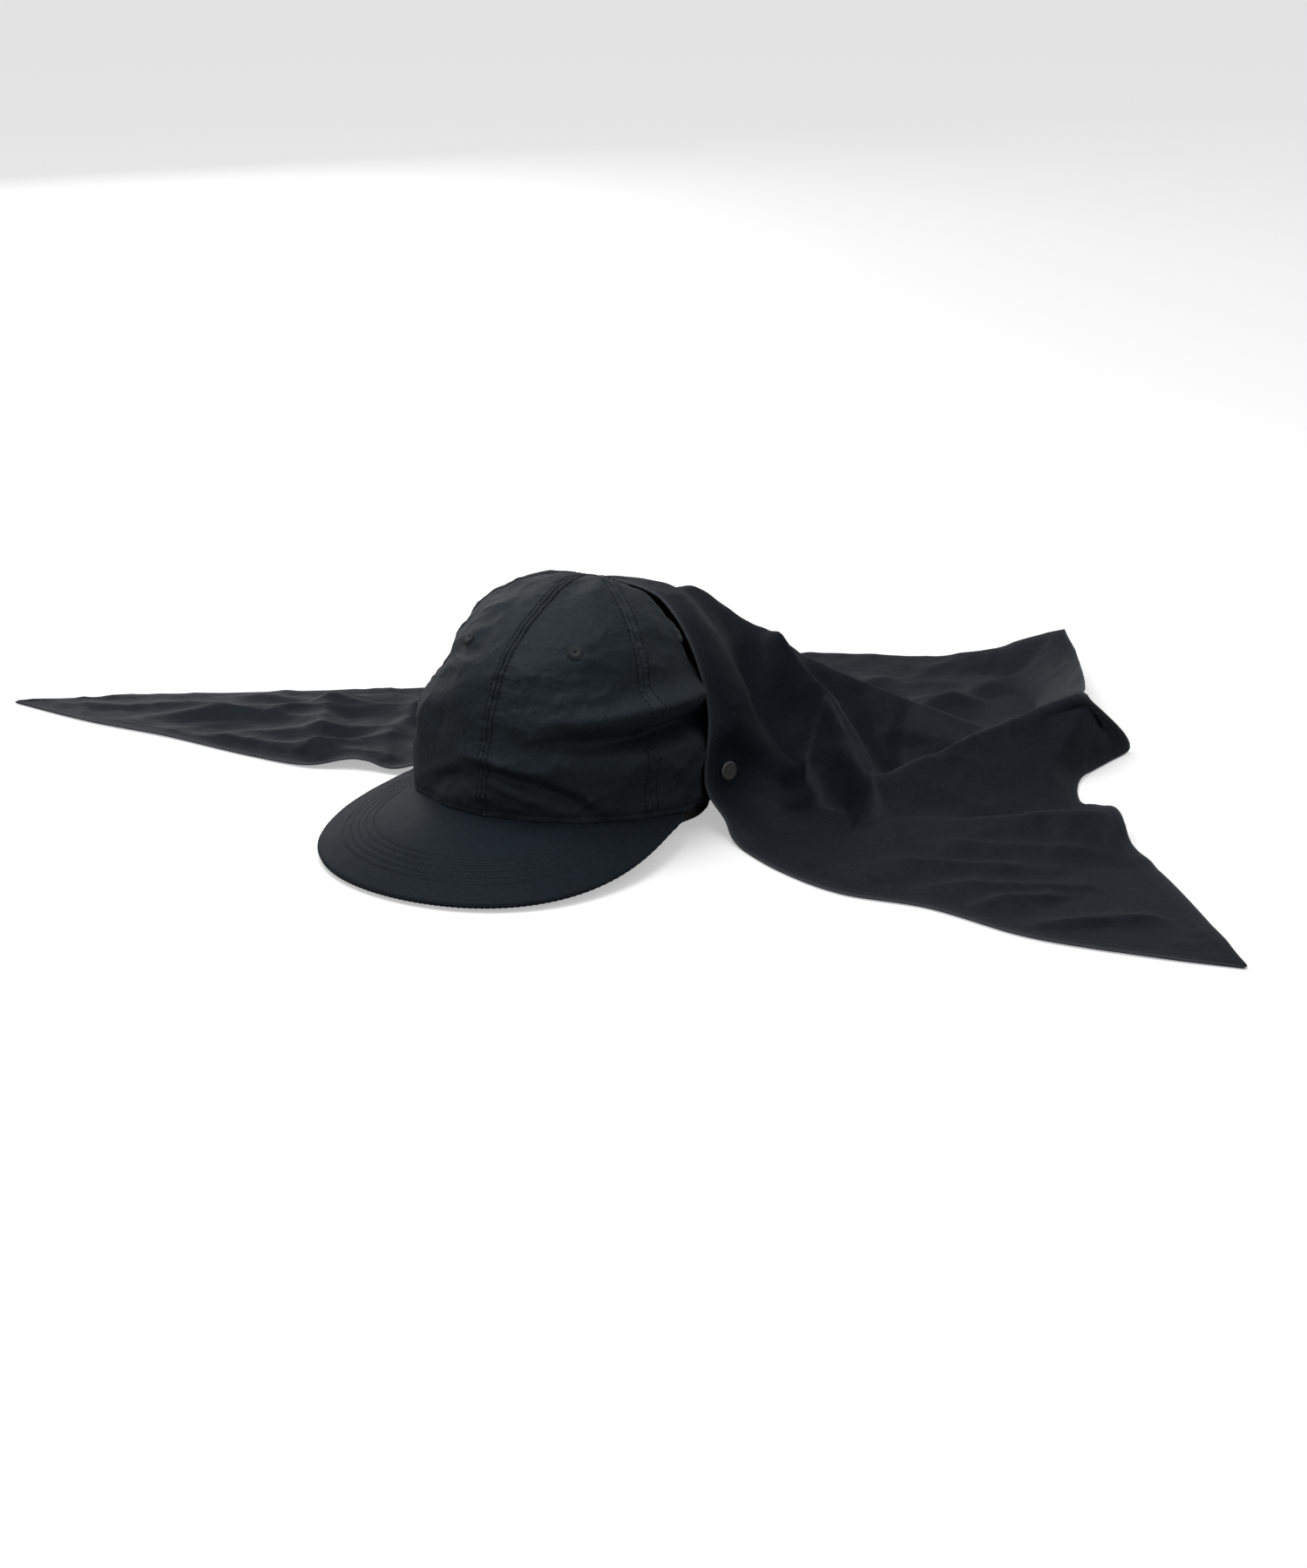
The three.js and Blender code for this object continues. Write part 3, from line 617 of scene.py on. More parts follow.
def solid_finish(name, color, roughness, metallic=0.0, grain=0.15, scale=400.0):
    """Moulded plastic, thread or metal, with fine variation in colour and gloss."""
    material = bpy.data.materials.new(name)
    material.use_nodes = True
    tree = material.node_tree
    link = tree.links.new
    shader = tree.nodes["Principled BSDF"]
    shader.inputs["Metallic"].default_value = metallic
    texture = grain_noise(tree, 4, scale).outputs[0]
    dark = tuple(c * (1 - grain) for c in color)
    light = tuple(min(c * (1 + grain), 1) for c in color)
    link(color_mix(tree, texture, dark, light), shader.inputs["Base Color"])
    link(scaled_sum(tree, texture, 0.2, roughness - 0.1), shader.inputs["Roughness"])
    link(bump_node(tree, texture, 0.2, 0.0001), shader.inputs["Normal"])
    return material


CROWN_NYLON = woven_cloth(
    "crown_nylon", (0.0055, 0.0095, 0.0135), (0.022, 0.032, 0.039), crumple=0.9
)
BRIM_NYLON = woven_cloth(
    "brim_nylon", (0.005, 0.0085, 0.0125), (0.016, 0.025, 0.033), crumple=0.1, gloss=0.13
)
CAPE_NYLON = woven_cloth(
    "cape_nylon", (0.003, 0.005, 0.0085), (0.011, 0.016, 0.023), crumple=0.7, gloss=0.2
)
BAND_CLOTH = woven_cloth("sweatband_cloth", (0.016, 0.015, 0.014), (0.055, 0.051, 0.047), pitch=1.0)
BINDING = woven_cloth("black_binding", (0.005, 0.005, 0.006), (0.016, 0.016, 0.017), pitch=1.0)
WEBBING = woven_cloth(
    "black_webbing", (0.006, 0.006, 0.007), (0.022, 0.023, 0.025), pitch=1.6, crumple=0.1
)
THREAD = solid_finish("sewing_thread", (0.032, 0.036, 0.034), 0.6)
DARK_THREAD = solid_finish("dark_thread", (0.0015, 0.002, 0.0025), 0.9)
EYELET_THREAD = solid_finish("eyelet_thread", (0.030, 0.038, 0.042), 0.6)
SNAP_METAL = solid_finish("snap_lacquer", (0.12, 0.12, 0.122), 0.42, 0.7, 0.1, 900.0)
KEEPER_PLASTIC = solid_finish("keeper_plastic", (0.010, 0.011, 0.012), 0.42)


# ---- Stitches and repeated threads ----


def stitch_tree():
    """Geometry Nodes: short threads laid end to end along the piece's edges."""
    tree = bpy.data.node_groups.new("stitch_rows", "GeometryNodeTree")
    face = tree.interface
    face.new_socket(name="Geometry", in_out="INPUT", socket_type="NodeSocketGeometry")
    for label, value in (("Pitch", 0.003), ("Length", 0.0021), ("Radius", 0.0002)):
        face.new_socket(name=label, in_out="INPUT", socket_type="NodeSocketFloat").default_value = value
    face.new_socket(name="Material", in_out="INPUT", socket_type="NodeSocketMaterial")
    face.new_socket(name="Geometry", in_out="OUTPUT", socket_type="NodeSocketGeometry")
    nodes, link = tree.nodes, tree.links.new
    start, end = nodes.new("NodeGroupInput"), nodes.new("NodeGroupOutput")
    curve = nodes.new("GeometryNodeMeshToCurve")
    link(start.outputs["Geometry"], curve.inputs[0])
    resample = nodes.new("GeometryNodeResampleCurve")
    resample.mode = "LENGTH"
    link(curve.outputs[0], resample.inputs["Curve"])
    link(start.outputs["Pitch"], resample.inputs["Length"])
    thread = nodes.new("GeometryNodeMeshUVSphere")
    thread.inputs["Segments"].default_value = 6
    thread.inputs["Rings"].default_value = 4
    thread.inputs["Radius"].default_value = 1.0
    size = nodes.new("ShaderNodeCombineXYZ")
    link(start.outputs["Radius"], size.inputs[0])
    link(start.outputs["Radius"], size.inputs[1])
    half = nodes.new("ShaderNodeMath")
    half.operation = "MULTIPLY"
    half.inputs[1].default_value = 0.5
    link(start.outputs["Length"], half.inputs[0])
    link(half.outputs[0], size.inputs[2])
    shape = nodes.new("GeometryNodeTransform")
    link(thread.outputs["Mesh"], shape.inputs["Geometry"])
    link(size.outputs[0], shape.inputs["Scale"])
    tangent = nodes.new("GeometryNodeInputTangent")
    turn = nodes.new("FunctionNodeAlignEulerToVector")
    turn.axis = "Z"
    link(tangent.outputs[0], turn.inputs["Vector"])
    place = nodes.new("GeometryNodeInstanceOnPoints")
    link(resample.outputs[0], place.inputs["Points"])
    link(shape.outputs[0], place.inputs["Instance"])
    link(turn.outputs[0], place.inputs["Rotation"])
    real = nodes.new("GeometryNodeRealizeInstances")
    link(place.outputs[0], real.inputs[0])
    flat = nodes.new("GeometryNodeSetShadeSmooth")
    link(real.outputs[0], flat.inputs["Geometry"])
    paint = nodes.new("GeometryNodeSetMaterial")
    link(flat.outputs[0], paint.inputs["Geometry"])
    link(start.outputs["Material"], paint.inputs["Material"])
    link(paint.outputs[0], end.inputs[0])
    return tree


STITCHES = stitch_tree()


def stitched(name, lines, material, pitch=STITCH_PITCH, length=STITCH_LENGTH, radius=STITCH_RADIUS):
    """One object of stitches along the given lines of points, in millimetres."""
    vertices, edges = [], []
    for line in lines:
        first = len(vertices)
        vertices += [tuple(p) for p in np.asarray(line) * MM]
        edges += [(k, k + 1) for k in range(first, len(vertices) - 1)]
    mesh = bpy.data.meshes.new(name + "_paths")
    mesh.from_pydata(vertices, edges, [])
    paths = bpy.data.objects.new(name + "_paths", mesh)
    bpy.context.scene.collection.objects.link(paths)
    modifier = paths.modifiers.new("stitches", "NODES")
    modifier.node_group = STITCHES
    values = {"Pitch": pitch * MM, "Length": length * MM, "Radius": radius * MM, "Material": material}
    for item in STITCHES.interface.items_tree:
        if item.in_out == "INPUT" and item.name in values:
            modifier[item.identifier] = values[item.name]
    bpy.context.view_layer.update()
    evaluated = paths.evaluated_get(bpy.context.evaluated_depsgraph_get())
    result = bpy.data.meshes.new_from_object(evaluated)
    bpy.data.objects.remove(paths)
    result.materials.clear()
    result.materials.append(material)
    result.polygons.foreach_set("material_index", [0] * len(result.polygons))
    obj = bpy.data.objects.new(name, result)
    obj.data.name = name
    bpy.context.scene.collection.objects.link(obj)
    return obj


# ---- Crown ----


def crown_panel(name, start, end):
    """One panel, from its seam at start degrees to its seam at end degrees."""
    cols, rows = 110, 170
    u = np.linspace(0, 1, cols)
    u = lerp(u, smooth(u, 0, 1), 0.5)  # closer columns at the seams
    angle = lerp(start, end, u)[:, None]
    bottom = level_at_rise(angle, arch_height(angle))
    share = np.linspace(0, 1, rows)[None, :] ** 1.25  # closer rows at the lower edge
    level = lerp(bottom, level_at_radius(angle, APEX_RADIUS), share)
    angle = np.broadcast_to(angle, level.shape)
    grid = crown_points(angle, level)
    along = np.cumsum(np.linalg.norm(np.diff(grid, axis=1, prepend=grid[:, :1]), axis=-1), axis=1)
    radius = np.hypot(grid[..., 0], grid[..., 1] - APEX_SETBACK)
    across = np.radians(angle - (start + end) / 2) * radius
    uv = np.stack([across, along], -1)
    grid = grid - grid_normals(grid) * SHELL / 2
    obj = thick_cloth(name, grid, SHELL / 2, CROWN_NYLON, uv)
    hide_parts(name)
    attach(obj, "root")
    return obj


def build_crown():
    ranges = {
        "front_panel_left": (0, 66),
        "side_panel_left": (66, 126),
        "back_panel_left": (126, 180),
        "front_panel_right": (-66, 0),
        "side_panel_right": (-126, -66),
        "back_panel_right": (-180, -126),
    }
    for name, (start, end) in ranges.items():
        crown_panel(name, start, end)


def apex_distance(angle, level):
    """How far a point of the crown is from its apex, in plan."""
    return np.linalg.norm((crown_surface(angle, level) - np.array([0, APEX_SETBACK, 0]))[..., :2], axis=-1)


def crown_stitches():
    """Two rows along each seam, and one round the crown's lower edge and the rear opening."""
    lines = []
    lift = 0.3
    for seam in SEAMS:
        low = level_at_rise(seam, arch_height(seam) + 3.5)
        level = np.linspace(low, level_at_radius(seam, SEAM_TOP), 160)
        for side in (-1, 1):
            angle = seam + side * np.degrees(SEAM_STITCH / apex_distance(seam, level))
            lines.append(crown_points(angle, level, lift))
    angle = np.linspace(-179.5, 179.5, 900)
    level = level_at_rise(angle, arch_height(angle) + EDGE_STITCH)
    lines.append(crown_points(angle, level, lift))
    obj = stitched("crown_stitches", lines, DARK_THREAD, pitch=3.2, length=2.2, radius=0.36)
    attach(obj, "root")


def seam_tapes():
    """A tape inside the crown along each seam, from the sweatband or the rear opening to the apex."""
    names = ("front", "left_front", "left_rear", "rear", "right_rear", "right_front")
    cols, rows = 9, 70
    across = np.linspace(-TAPE_HALF_WIDTH, TAPE_HALF_WIDTH, cols)[:, None]
    for name, seam in zip(names, SEAMS):
        start = level_at_rise(seam, np.maximum(arch_height(seam) + 1.0, BAND_RISE + 4.0))
        level = np.linspace(start, level_at_radius(seam, SEAM_TOP), rows)[None, :]
        angle = seam + np.degrees(across / apex_distance(seam, level))
        grid = crown_points(angle, np.broadcast_to(level, (cols, rows)), -TAPE_DEPTH)
        uv = np.stack(np.broadcast_arrays(across, np.arange(rows) * 2.0), -1)
        tape = thick_cloth(f"{name}_seam_tape", grid, 0.3, BINDING, uv)
        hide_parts(f"{name}_seam_tape")
        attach(tape, "root")


def build_eyelets():
    """Satin-stitched eyelets: a ring of close threads round each hole."""
    places = {
        f"{part}_eyelet_{side}": sign * angle
        for side, sign in (("left", 1.0), ("right", -1.0))
        for part, angle in (("front", 33), ("side", 96), ("back", 153))
    }
    arch = 0.55 * np.sin(np.linspace(0.12, 1, 6) * math.pi)
    for name, angle in places.items():
        centre = crown_points(np.array(angle), np.array(EYELET_LEVEL))
        normal = crown_normal(np.array(angle), np.array(EYELET_LEVEL))
        side = unit(np.cross(np.array([0, 0, 1.0]), normal))
        up = np.cross(normal, side)
        lines = []
        for k in range(EYELET_THREADS):
            turn = 2 * math.pi * k / EYELET_THREADS
            outward = side * math.cos(turn) + up * math.sin(turn)
            radii = np.linspace(EYELET_HOLE, EYELET_RADIUS - 0.25 * (k % 2), len(arch))
            lines.append(centre + outward * radii[:, None] + normal * (arch[:, None] + 0.05))
        ring = stitched(name, lines, EYELET_THREAD, pitch=0.62, length=1.1, radius=0.24)
        painted_shade_hole(name + "_hole", centre, normal, side, up)
        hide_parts(name)
        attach(ring, "root")


def painted_shade_hole(name, centre, normal, side, up):
    """The dark opening in the middle of an eyelet, a shallow cup set into the cloth; its black is painted
    shade, standing for the shaded inside of the cap seen through the hole.
    """
    segments = 20
    turn = np.linspace(0, 2 * math.pi, segments, endpoint=False)
    rings = []
    steps = ((0.25, 0.32), (-0.1, 0.36), (-0.2, 0.14))
    for wider, height in steps:
        radius = EYELET_HOLE + wider
        around = np.cos(turn)[:, None] * side + np.sin(turn)[:, None] * up
        rings.append(centre + around * radius + normal * height)
    points = np.concatenate(rings + [centre[None] + normal * 0.1])
    faces = []
    for ring in range(2):
        for k in range(segments):
            a, b = ring * segments + k, ring * segments + (k + 1) % segments
            faces.append([a, b, b + segments, a + segments])
    for k in range(segments):
        faces.append([2 * segments + k, 2 * segments + (k + 1) % segments, 3 * segments])
    # Black cloth as painted shade: the panel has no hole, so this cup stands for the dark inside seen
    # through one.
    obj = new_object(name, points, faces, BINDING, np.zeros((len(points), 2)))
    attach(obj, "root")


# ---- Sweatband and rear adjuster ----


def build_sweatband():
    cols, rows = 420, 16
    angle = np.linspace(-BAND_END_ANGLE, BAND_END_ANGLE, cols)[:, None]
    base = base_point(angle)
    turn = np.radians(angle)
    inward = np.stack([-np.sin(turn) / HALF_WIDTH, np.cos(turn) / HALF_LENGTH, 0 * turn], -1)
    foot = base + unit(inward) * BAND_INSET
    share = np.linspace(0, 1, rows)[None, :]
    low = np.maximum(BAND_FLOOR, base[..., 2] - BAND_DROP)
    grid = np.repeat(foot, rows, axis=1)
    grid[..., 2] = lerp(low, base[..., 2] + BAND_RISE, share)
    level = level_at_rise(angle, np.maximum(grid[..., 2] - base[..., 2], 0))
    around = np.broadcast_to(angle, level.shape)
    relief = crown_relief(around, level, crown_surface(around, level))
    pressed = np.maximum(0, -BAND_CLEARANCE - relief)
    grid = square_to_snaps(grid, -4.6)
    wave = fractal(grid * np.array([1, 1, 0.4]), 22, 7)
    grid += np.repeat(unit(inward), rows, axis=1) * (0.5 * wave + pressed)[..., None]
    uv = np.stack(np.broadcast_arrays(np.arange(cols)[:, None] * 1.1, np.arange(rows)[None, :] * 1.5), -1)
    lower_hem = 0.4 * bell(share, 0.02, 0.05) * np.ones((cols, 1))
    obj = thick_cloth("sweatband", grid, BAND_HALF + lower_hem, BAND_CLOTH, uv)
    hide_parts("sweatband")
    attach(obj, "root")
    inset = unit(inward)[:, 0] * (BAND_HALF + 0.15)
    lines = [grid[:, 2] - inset, grid[:, 2] + inset]
    thread = stitched("sweatband_stitches", lines, THREAD, pitch=2.6, length=2.0)
    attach(thread, "root")


def build_adjuster():
    low, high = node_box("adjuster_strap")
    radius = HALF_WIDTH**2 / HALF_LENGTH
    centre_y = high[1] - radius
    reach = math.degrees(math.asin(high[0] / radius))
    cols, rows = 90, 10
    turn = np.radians(np.linspace(-reach, reach, cols))[:, None]
    share = np.linspace(0, 1, rows)[None, :]
    middle = radius - 0.6
    x = middle * np.sin(turn)
    y = centre_y + middle * np.cos(turn)
    grid = np.stack(np.broadcast_arrays(x, y, lerp(high[2], low[2], share)), -1)
    uv = np.stack(np.broadcast_arrays(turn * radius, share * 20), -1)
    ribs = 0.5 + 0.08 * np.cos(np.arange(cols) * math.pi)[:, None] * np.ones((1, rows))
    strap = thick_cloth("adjuster_strap", grid, ribs, WEBBING, uv)
    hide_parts("adjuster_strap")
    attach(strap, "root")
    keeper = frame["nodes"]["strap_keeper"]
    keeper.data.materials.clear()
    keeper.data.materials.append(KEEPER_PLASTIC)


# ---- Brim ----


def brim_width(angle):
    share = np.abs(angle) / BRIM_HALF_ANGLE
    return lerp(BRIM_LENGTH, BRIM_END_LENGTH, share**BRIM_CORNER)


def brim_surface(u, v):
    """The brim's upper face: u runs round it, v from the crown to its front edge."""
    angle = lerp(-BRIM_HALF_ANGLE, BRIM_HALF_ANGLE, u)
    share = np.abs(angle) / BRIM_HALF_ANGLE
    width = brim_width(angle)
    heading = np.radians(angle * BRIM_SPREAD + BRIM_TURN)
    inner = base_point(angle) - np.array([0, 0, 0.3])
    out = np.stack([np.sin(heading), -np.cos(heading), 0 * heading], -1) * width[..., None]
    outer = inner + out
    outer[..., 2] = BRIM_EDGE_HEIGHT + BRIM_END_RISE * share**4
    point = lerp(inner, outer, v[..., None])
    point[..., 2] += BRIM_CROWNING * np.sin(np.pi * v) * (1 - share**2)
    return point


def brim_edge_distance(points):
    """How far each point is from the brim's front edge, in plan."""
    edge = brim_surface(np.linspace(0, 1, 400), np.ones(400))[:, :2]
    return np.sqrt(((points[..., None, :2] - edge) ** 2).sum(-1).min(-1))


def brim_row(inset):
    """The line on the brim's face that stands this far in from its front edge."""
    u, v = np.meshgrid(np.linspace(0.02, 0.98, 400), np.linspace(0.05, 1, 240), indexing="ij")
    face = brim_surface(u, v)
    inside = brim_edge_distance(face) > inset
    last = inside.shape[1] - 1 - inside[:, ::-1].argmax(1)
    return face[np.arange(400), last][inside.any(1)]


def build_brim():
    cols, rows = 300, 120
    u = np.linspace(0, 1, cols)[:, None] * np.ones((1, rows))
    v = np.linspace(-0.03, 1, rows)[None, :] * np.ones((cols, 1))
    face = brim_surface(u, v)
    normal = -grid_normals(face)
    normal *= np.sign(normal[..., 2:3])
    relief = 0.18 * fractal(face, 24, 11)
    from_edge = brim_edge_distance(face)
    for row in BRIM_ROWS:
        relief -= 0.35 * bell(from_edge, row, 0.75)
    rim = np.minimum(from_edge, np.minimum(u, 1 - u) * 260)
    round_over = np.sqrt(np.clip(1 - np.clip(1 - rim / 1.7, 0, 1) ** 2, 0, 1))
    half = BRIM_THICKNESS / 2
    middle = face - normal * half
    grid = middle + normal * (relief * 0.5)[..., None]
    thickness = half * (0.12 + 0.88 * round_over) + relief * 0.5
    uv = np.stack([u * 240, v * 64], -1)  # about the brim's real width and depth
    obj = thick_cloth("brim", grid[::-1], thickness[::-1], BRIM_NYLON, uv[::-1], normal[::-1])
    # Lighter along the brim's rim and ends: partly wear, partly a painted highlight.
    edge_wear_and_highlight = 0.10 * np.exp(-rim / 1.1)[::-1].reshape(-1)
    add_edge_wear_and_highlight(obj, np.concatenate([edge_wear_and_highlight, edge_wear_and_highlight]))
    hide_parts("brim_top_cover", "brim_board", "brim_under_cover")
    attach(obj, "root")
    lines = []
    for row in BRIM_ROWS:
        line = brim_row(row)
        lines += [line - np.array([0, 0, 0.15]), line - np.array([0, 0, BRIM_THICKNESS + 0.3])]
    threads = stitched("brim_stitches", lines, THREAD, pitch=2.6, length=1.9, radius=0.2)
    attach(threads, "root")


# Stores how much of the lighter edge colour each point gets: partly wear, partly a painted highlight.
def add_edge_wear_and_highlight(obj, values):
    layer = obj.data.attributes.new("edge_wear_and_highlight", "FLOAT", "POINT")
    layer.data.foreach_set("value", np.asarray(values, np.float32))


# ---- Snaps ----


def turned(name, profile, seat, axis, material, body, segments=56):
    """A lathe-turned piece from [radius, height] pairs that start and end on its axis."""
    side = unit(np.cross(np.array([0, 0, 1.0]), axis))
    up = np.cross(axis, side)
    turn = np.linspace(0, 2 * math.pi, segments, endpoint=False)
    around = np.cos(turn)[:, None] * side + np.sin(turn)[:, None] * up
    points = [seat + axis * profile[0][1]]
    for radius, height in profile[1:-1]:
        points.extend(seat + around * radius + axis * height)
    points.append(seat + axis * profile[-1][1])
    rings = len(profile) - 2
    last = len(points) - 1
    faces = []
    for k in range(segments):
        nxt = (k + 1) % segments
        faces.append([0, 1 + nxt, 1 + k])
        for ring in range(rings - 1):
            a, b = 1 + ring * segments + k, 1 + ring * segments + nxt
            faces.append([a, b, b + segments, a + segments])
        faces.append([1 + (rings - 1) * segments + k, 1 + (rings - 1) * segments + nxt, last])
    obj = new_object(name, np.array(points), faces, material)
    bevel = obj.modifiers.new("edges", "BEVEL")
    bevel.width = 0.00012
    bevel.segments = 2
    bevel.limit_method = "ANGLE"
    bevel.angle_limit = math.radians(35)
    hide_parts(name)
    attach(obj, body)
    return obj


def snap_profiles():
    """Each turned piece of a snap: [radius, height] pairs, heights above the crown's outer face."""
    flange, neck, rivet = 5.4, 1.9, 1.3
    hollow = STUD_TOP + 0.3
    return {
        "stud": [
            (0, STUD_BASE), (flange, STUD_BASE), (flange, STUD_BASE + 0.5), (2.6, STUD_BASE + 0.8),
            (neck, STUD_BASE + 1.0), (neck, STUD_TOP - 1.2), (2.2, STUD_TOP - 0.8), (neck, STUD_TOP),
            (0, STUD_TOP),
        ],
        "post": [
            (0, -2.1), (4.9, -2.1), (flange, -1.7), (flange, -1.3), (rivet, -1.3), (rivet, 0), (0, 0),
        ],
        "socket": [
            (0, hollow), (2.8, hollow), (2.8, SOCKET_BOTTOM + 0.5), (3.4, SOCKET_BOTTOM),
            (5.0, SOCKET_BOTTOM), (flange, SOCKET_BOTTOM + 0.5), (flange, SOCKET_TOP - 0.3),
            (4.9, SOCKET_TOP), (0, SOCKET_TOP),
        ],
        "cap": [
            (0, CLOTH_MIDDLE - 0.5), (rivet, CLOTH_MIDDLE - 0.5), (rivet, CLOTH_MIDDLE + 0.4),
            (5.3, CLOTH_MIDDLE + 0.45), (5.9, CAP_BOTTOM - 0.1), (SNAP_RADIUS, CAP_BOTTOM + 0.3),
            (5.7, CAP_BOTTOM + 0.75), (5.2, CAP_TOP - 0.1), (4.6, CAP_TOP), (3.9, CAP_TOP - 0.12),
            (2.0, CAP_TOP - 0.05), (0, CAP_TOP),
        ],
    }


def build_snaps():
    for side, (seat, axis) in SNAPS.items():
        for piece, profile in snap_profiles().items():
            body = "root" if piece in ("stud", "post") else f"snap_{side}"
            turned(f"snap_{piece}_{side}", profile, seat, axis, SNAP_METAL, body)


# ---- Cape ----

# The front edge's climb up the crown: [angle, level] pairs from the snap to near the middle.
CLIMB = ((96, 0.035), (98, 0.13), (102, 0.24), (102, 0.37), (102.5, 0.48), (104.5, 0.6), (115, 0.75))
# Where the cape's edges lie: points along its front edge on each side of the crown, then along its
# trailing edges by way of the cape's point, all from the wearer's right to the left.
FRONT_RIGHT_SIDE = (
    (-410, 4, 0.9), (-345, -5, 0.9), (-281, -6, 0.9), (-215, -12, 0.9), (-172, -12, 2),
    (-146, -1, 7), (-120, 2, 4), (-100, 6, 14),
)
FRONT_LEFT_SIDE = (
    (102, 1, 13), (112, -8, 3), (151, -34, 0.9), (196, -50, 0.9), (246, -47, 0.9),
    (309, -60, 0.9), (374, -55, 0.9), (424, -46, 0.9),
)
TRAIL_RIGHT_SIDE = (
    (-410, 4, 0.9), (-344, 52, 0.9), (-253, 111, 0.9), (-182, 158, 0.9), (-90, 250, 0.9),
    (0, 335, 0.9), (44, 359, 0.9), (95, 374, 4), (131, 390, 13), (166, 402, 25),
)
TRAIL_LEFT_SIDE = (
    (166, 402, 25), (184, 374, 18), (207, 320, 24), (228, 262, 35), (243, 218, 45),
    (264, 252, 4), (253, 188, 2), (271, 140, 3), (300, 112, 15), (319, 88, 6), (348, 56, 0.9),
    (398, -10, 0.9), (424, -46, 0.9),
)
# The crest of each large fold, as points.
RIDGES = (
    ((36, 96, 108), (66, 122, 86), (88, 146, 66), (117, 168, 50), (145, 176, 38), (193, 172, 30)),
    ((140, 20, 5), (150, 35, 13), (165, 65, 22), (200, 158, 33), (222, 197, 40), (242, 222, 45)),
    ((84, 116, 84), (112, 122, 54), (140, 98, 36), (168, 66, 20)),
    ((128, 4, 3), (171, 32, 9), (198, 50, 11), (250, 78, 13), (284, 101, 15), (301, 111, 16)),
)
# For each fold: its reach on the front side and on the back side, and how peaked it is.
RIDGE_SHAPES = ((1.0, 1.0, 1.6), (1.5, 0.5, 1.15), (0.7, 0.8, 1.3), (1.2, 0.6, 1.3))
# Small creases in the cape: plan points from and to, height and width.
CAPE_CREASES = (
    ((185, -18), (292, 38), 2.6, 7),
    ((104, 44), (112, 92), 1.6, 6),
    ((100, 30), (128, 60), 1.2, 5),
    ((226, -32), (330, 30), 2.2, 6),
    ((262, -40), (318, 10), 2.4, 6),
    ((300, -50), (372, 2), 2.6, 6),
    ((160, -20), (215, -28), 2.0, 6),
    ((210, 30), (310, 70), 1.6, 6),
    ((-120, 12), (-300, -4), 2.6, 7),
    ((-125, 60), (-330, 40), 2.4, 9),
    ((-140, 110), (-300, 70), 2.6, 9),
    ((-390, 8), (-250, 60), 1.8, 7),
    ((-330, 6), (-190, 90), 2.2, 7),
    ((-260, 0), (-150, 60), 3.0, 8),
    ((-190, -8), (-135, 60), 3.2, 8),
    ((-175, 0), (-225, 100), 2.4, 8),
    ((-150, 40), (-170, 140), 2.8, 8),
    ((-250, 30), (-200, 130), 1.8, 6),
    ((20, 190), (90, 330), 2.5, 10),
    ((-60, 160), (-20, 300), 2.5, 10),
    ((110, 200), (150, 360), 3.0, 10),
    ((150, 190), (215, 300), 3.0, 9),
    ((90, 250), (160, 300), 2.0, 8),
    ((-110, 110), (-90, 220), 3.0, 9),
)


class RoundedLine:
    """A centripetal Catmull-Rom curve through points, sampled by its share of length."""

    def __init__(self, points):
        points = np.array(points, float)
        first, last = 2 * points[0] - points[1], 2 * points[-1] - points[-2]
        padded = np.vstack([first, points, last])
        samples = []
        for k in range(1, len(padded) - 2):
            a, b, c, d = padded[k - 1:k + 3]
            ta = 0.0
            tb = ta + np.linalg.norm(b - a) ** 0.5
            tc = tb + np.linalg.norm(c - b) ** 0.5
            td = tc + np.linalg.norm(d - c) ** 0.5
            t = np.linspace(tb, tc, 60, endpoint=False)[:, None]
            ab = a * (tb - t) / (tb - ta) + b * (t - ta) / (tb - ta)
            bc = b * (tc - t) / (tc - tb) + c * (t - tb) / (tc - tb)
            cd = c * (td - t) / (td - tc) + d * (t - tc) / (td - tc)
            abc = ab * (tc - t) / (tc - ta) + bc * (t - ta) / (tc - ta)
            bcd = bc * (td - t) / (td - tb) + cd * (t - tb) / (td - tb)
            samples.append(abc * (tc - t) / (tc - tb) + bcd * (t - tb) / (tc - tb))
        self.points = np.vstack(samples + [points[-1:]])
        steps = np.linalg.norm(np.diff(self.points, axis=0), axis=1)
        self.lengths = np.concatenate([[0], np.cumsum(steps)])
        self.length = self.lengths[-1]

    def at(self, share):
        want = np.asarray(share) * self.length
        return np.stack([np.interp(want, self.lengths, self.points[:, k]) for k in range(3)], -1)


def on_crown(side):
    points = []
    for angle, level in CLIMB:
        a, v = np.array(side * angle, float), np.array(level)
        points.append(crown_surface(a, v) + crown_normal(a, v) * CAPE_STANDOFF)
    return points


def cape_outline():
    crest = crown_surface(np.array(180.0), np.array(0.9)) + np.array([0, 0, CAPE_STANDOFF])
    front = RoundedLine([*FRONT_RIGHT_SIDE, *on_crown(-1), crest, *on_crown(1)[::-1], *FRONT_LEFT_SIDE])
    return front, RoundedLine(TRAIL_RIGHT_SIDE), RoundedLine(TRAIL_LEFT_SIDE)


FRONT_EDGE, RIGHT_TRAIL, LEFT_TRAIL = cape_outline()


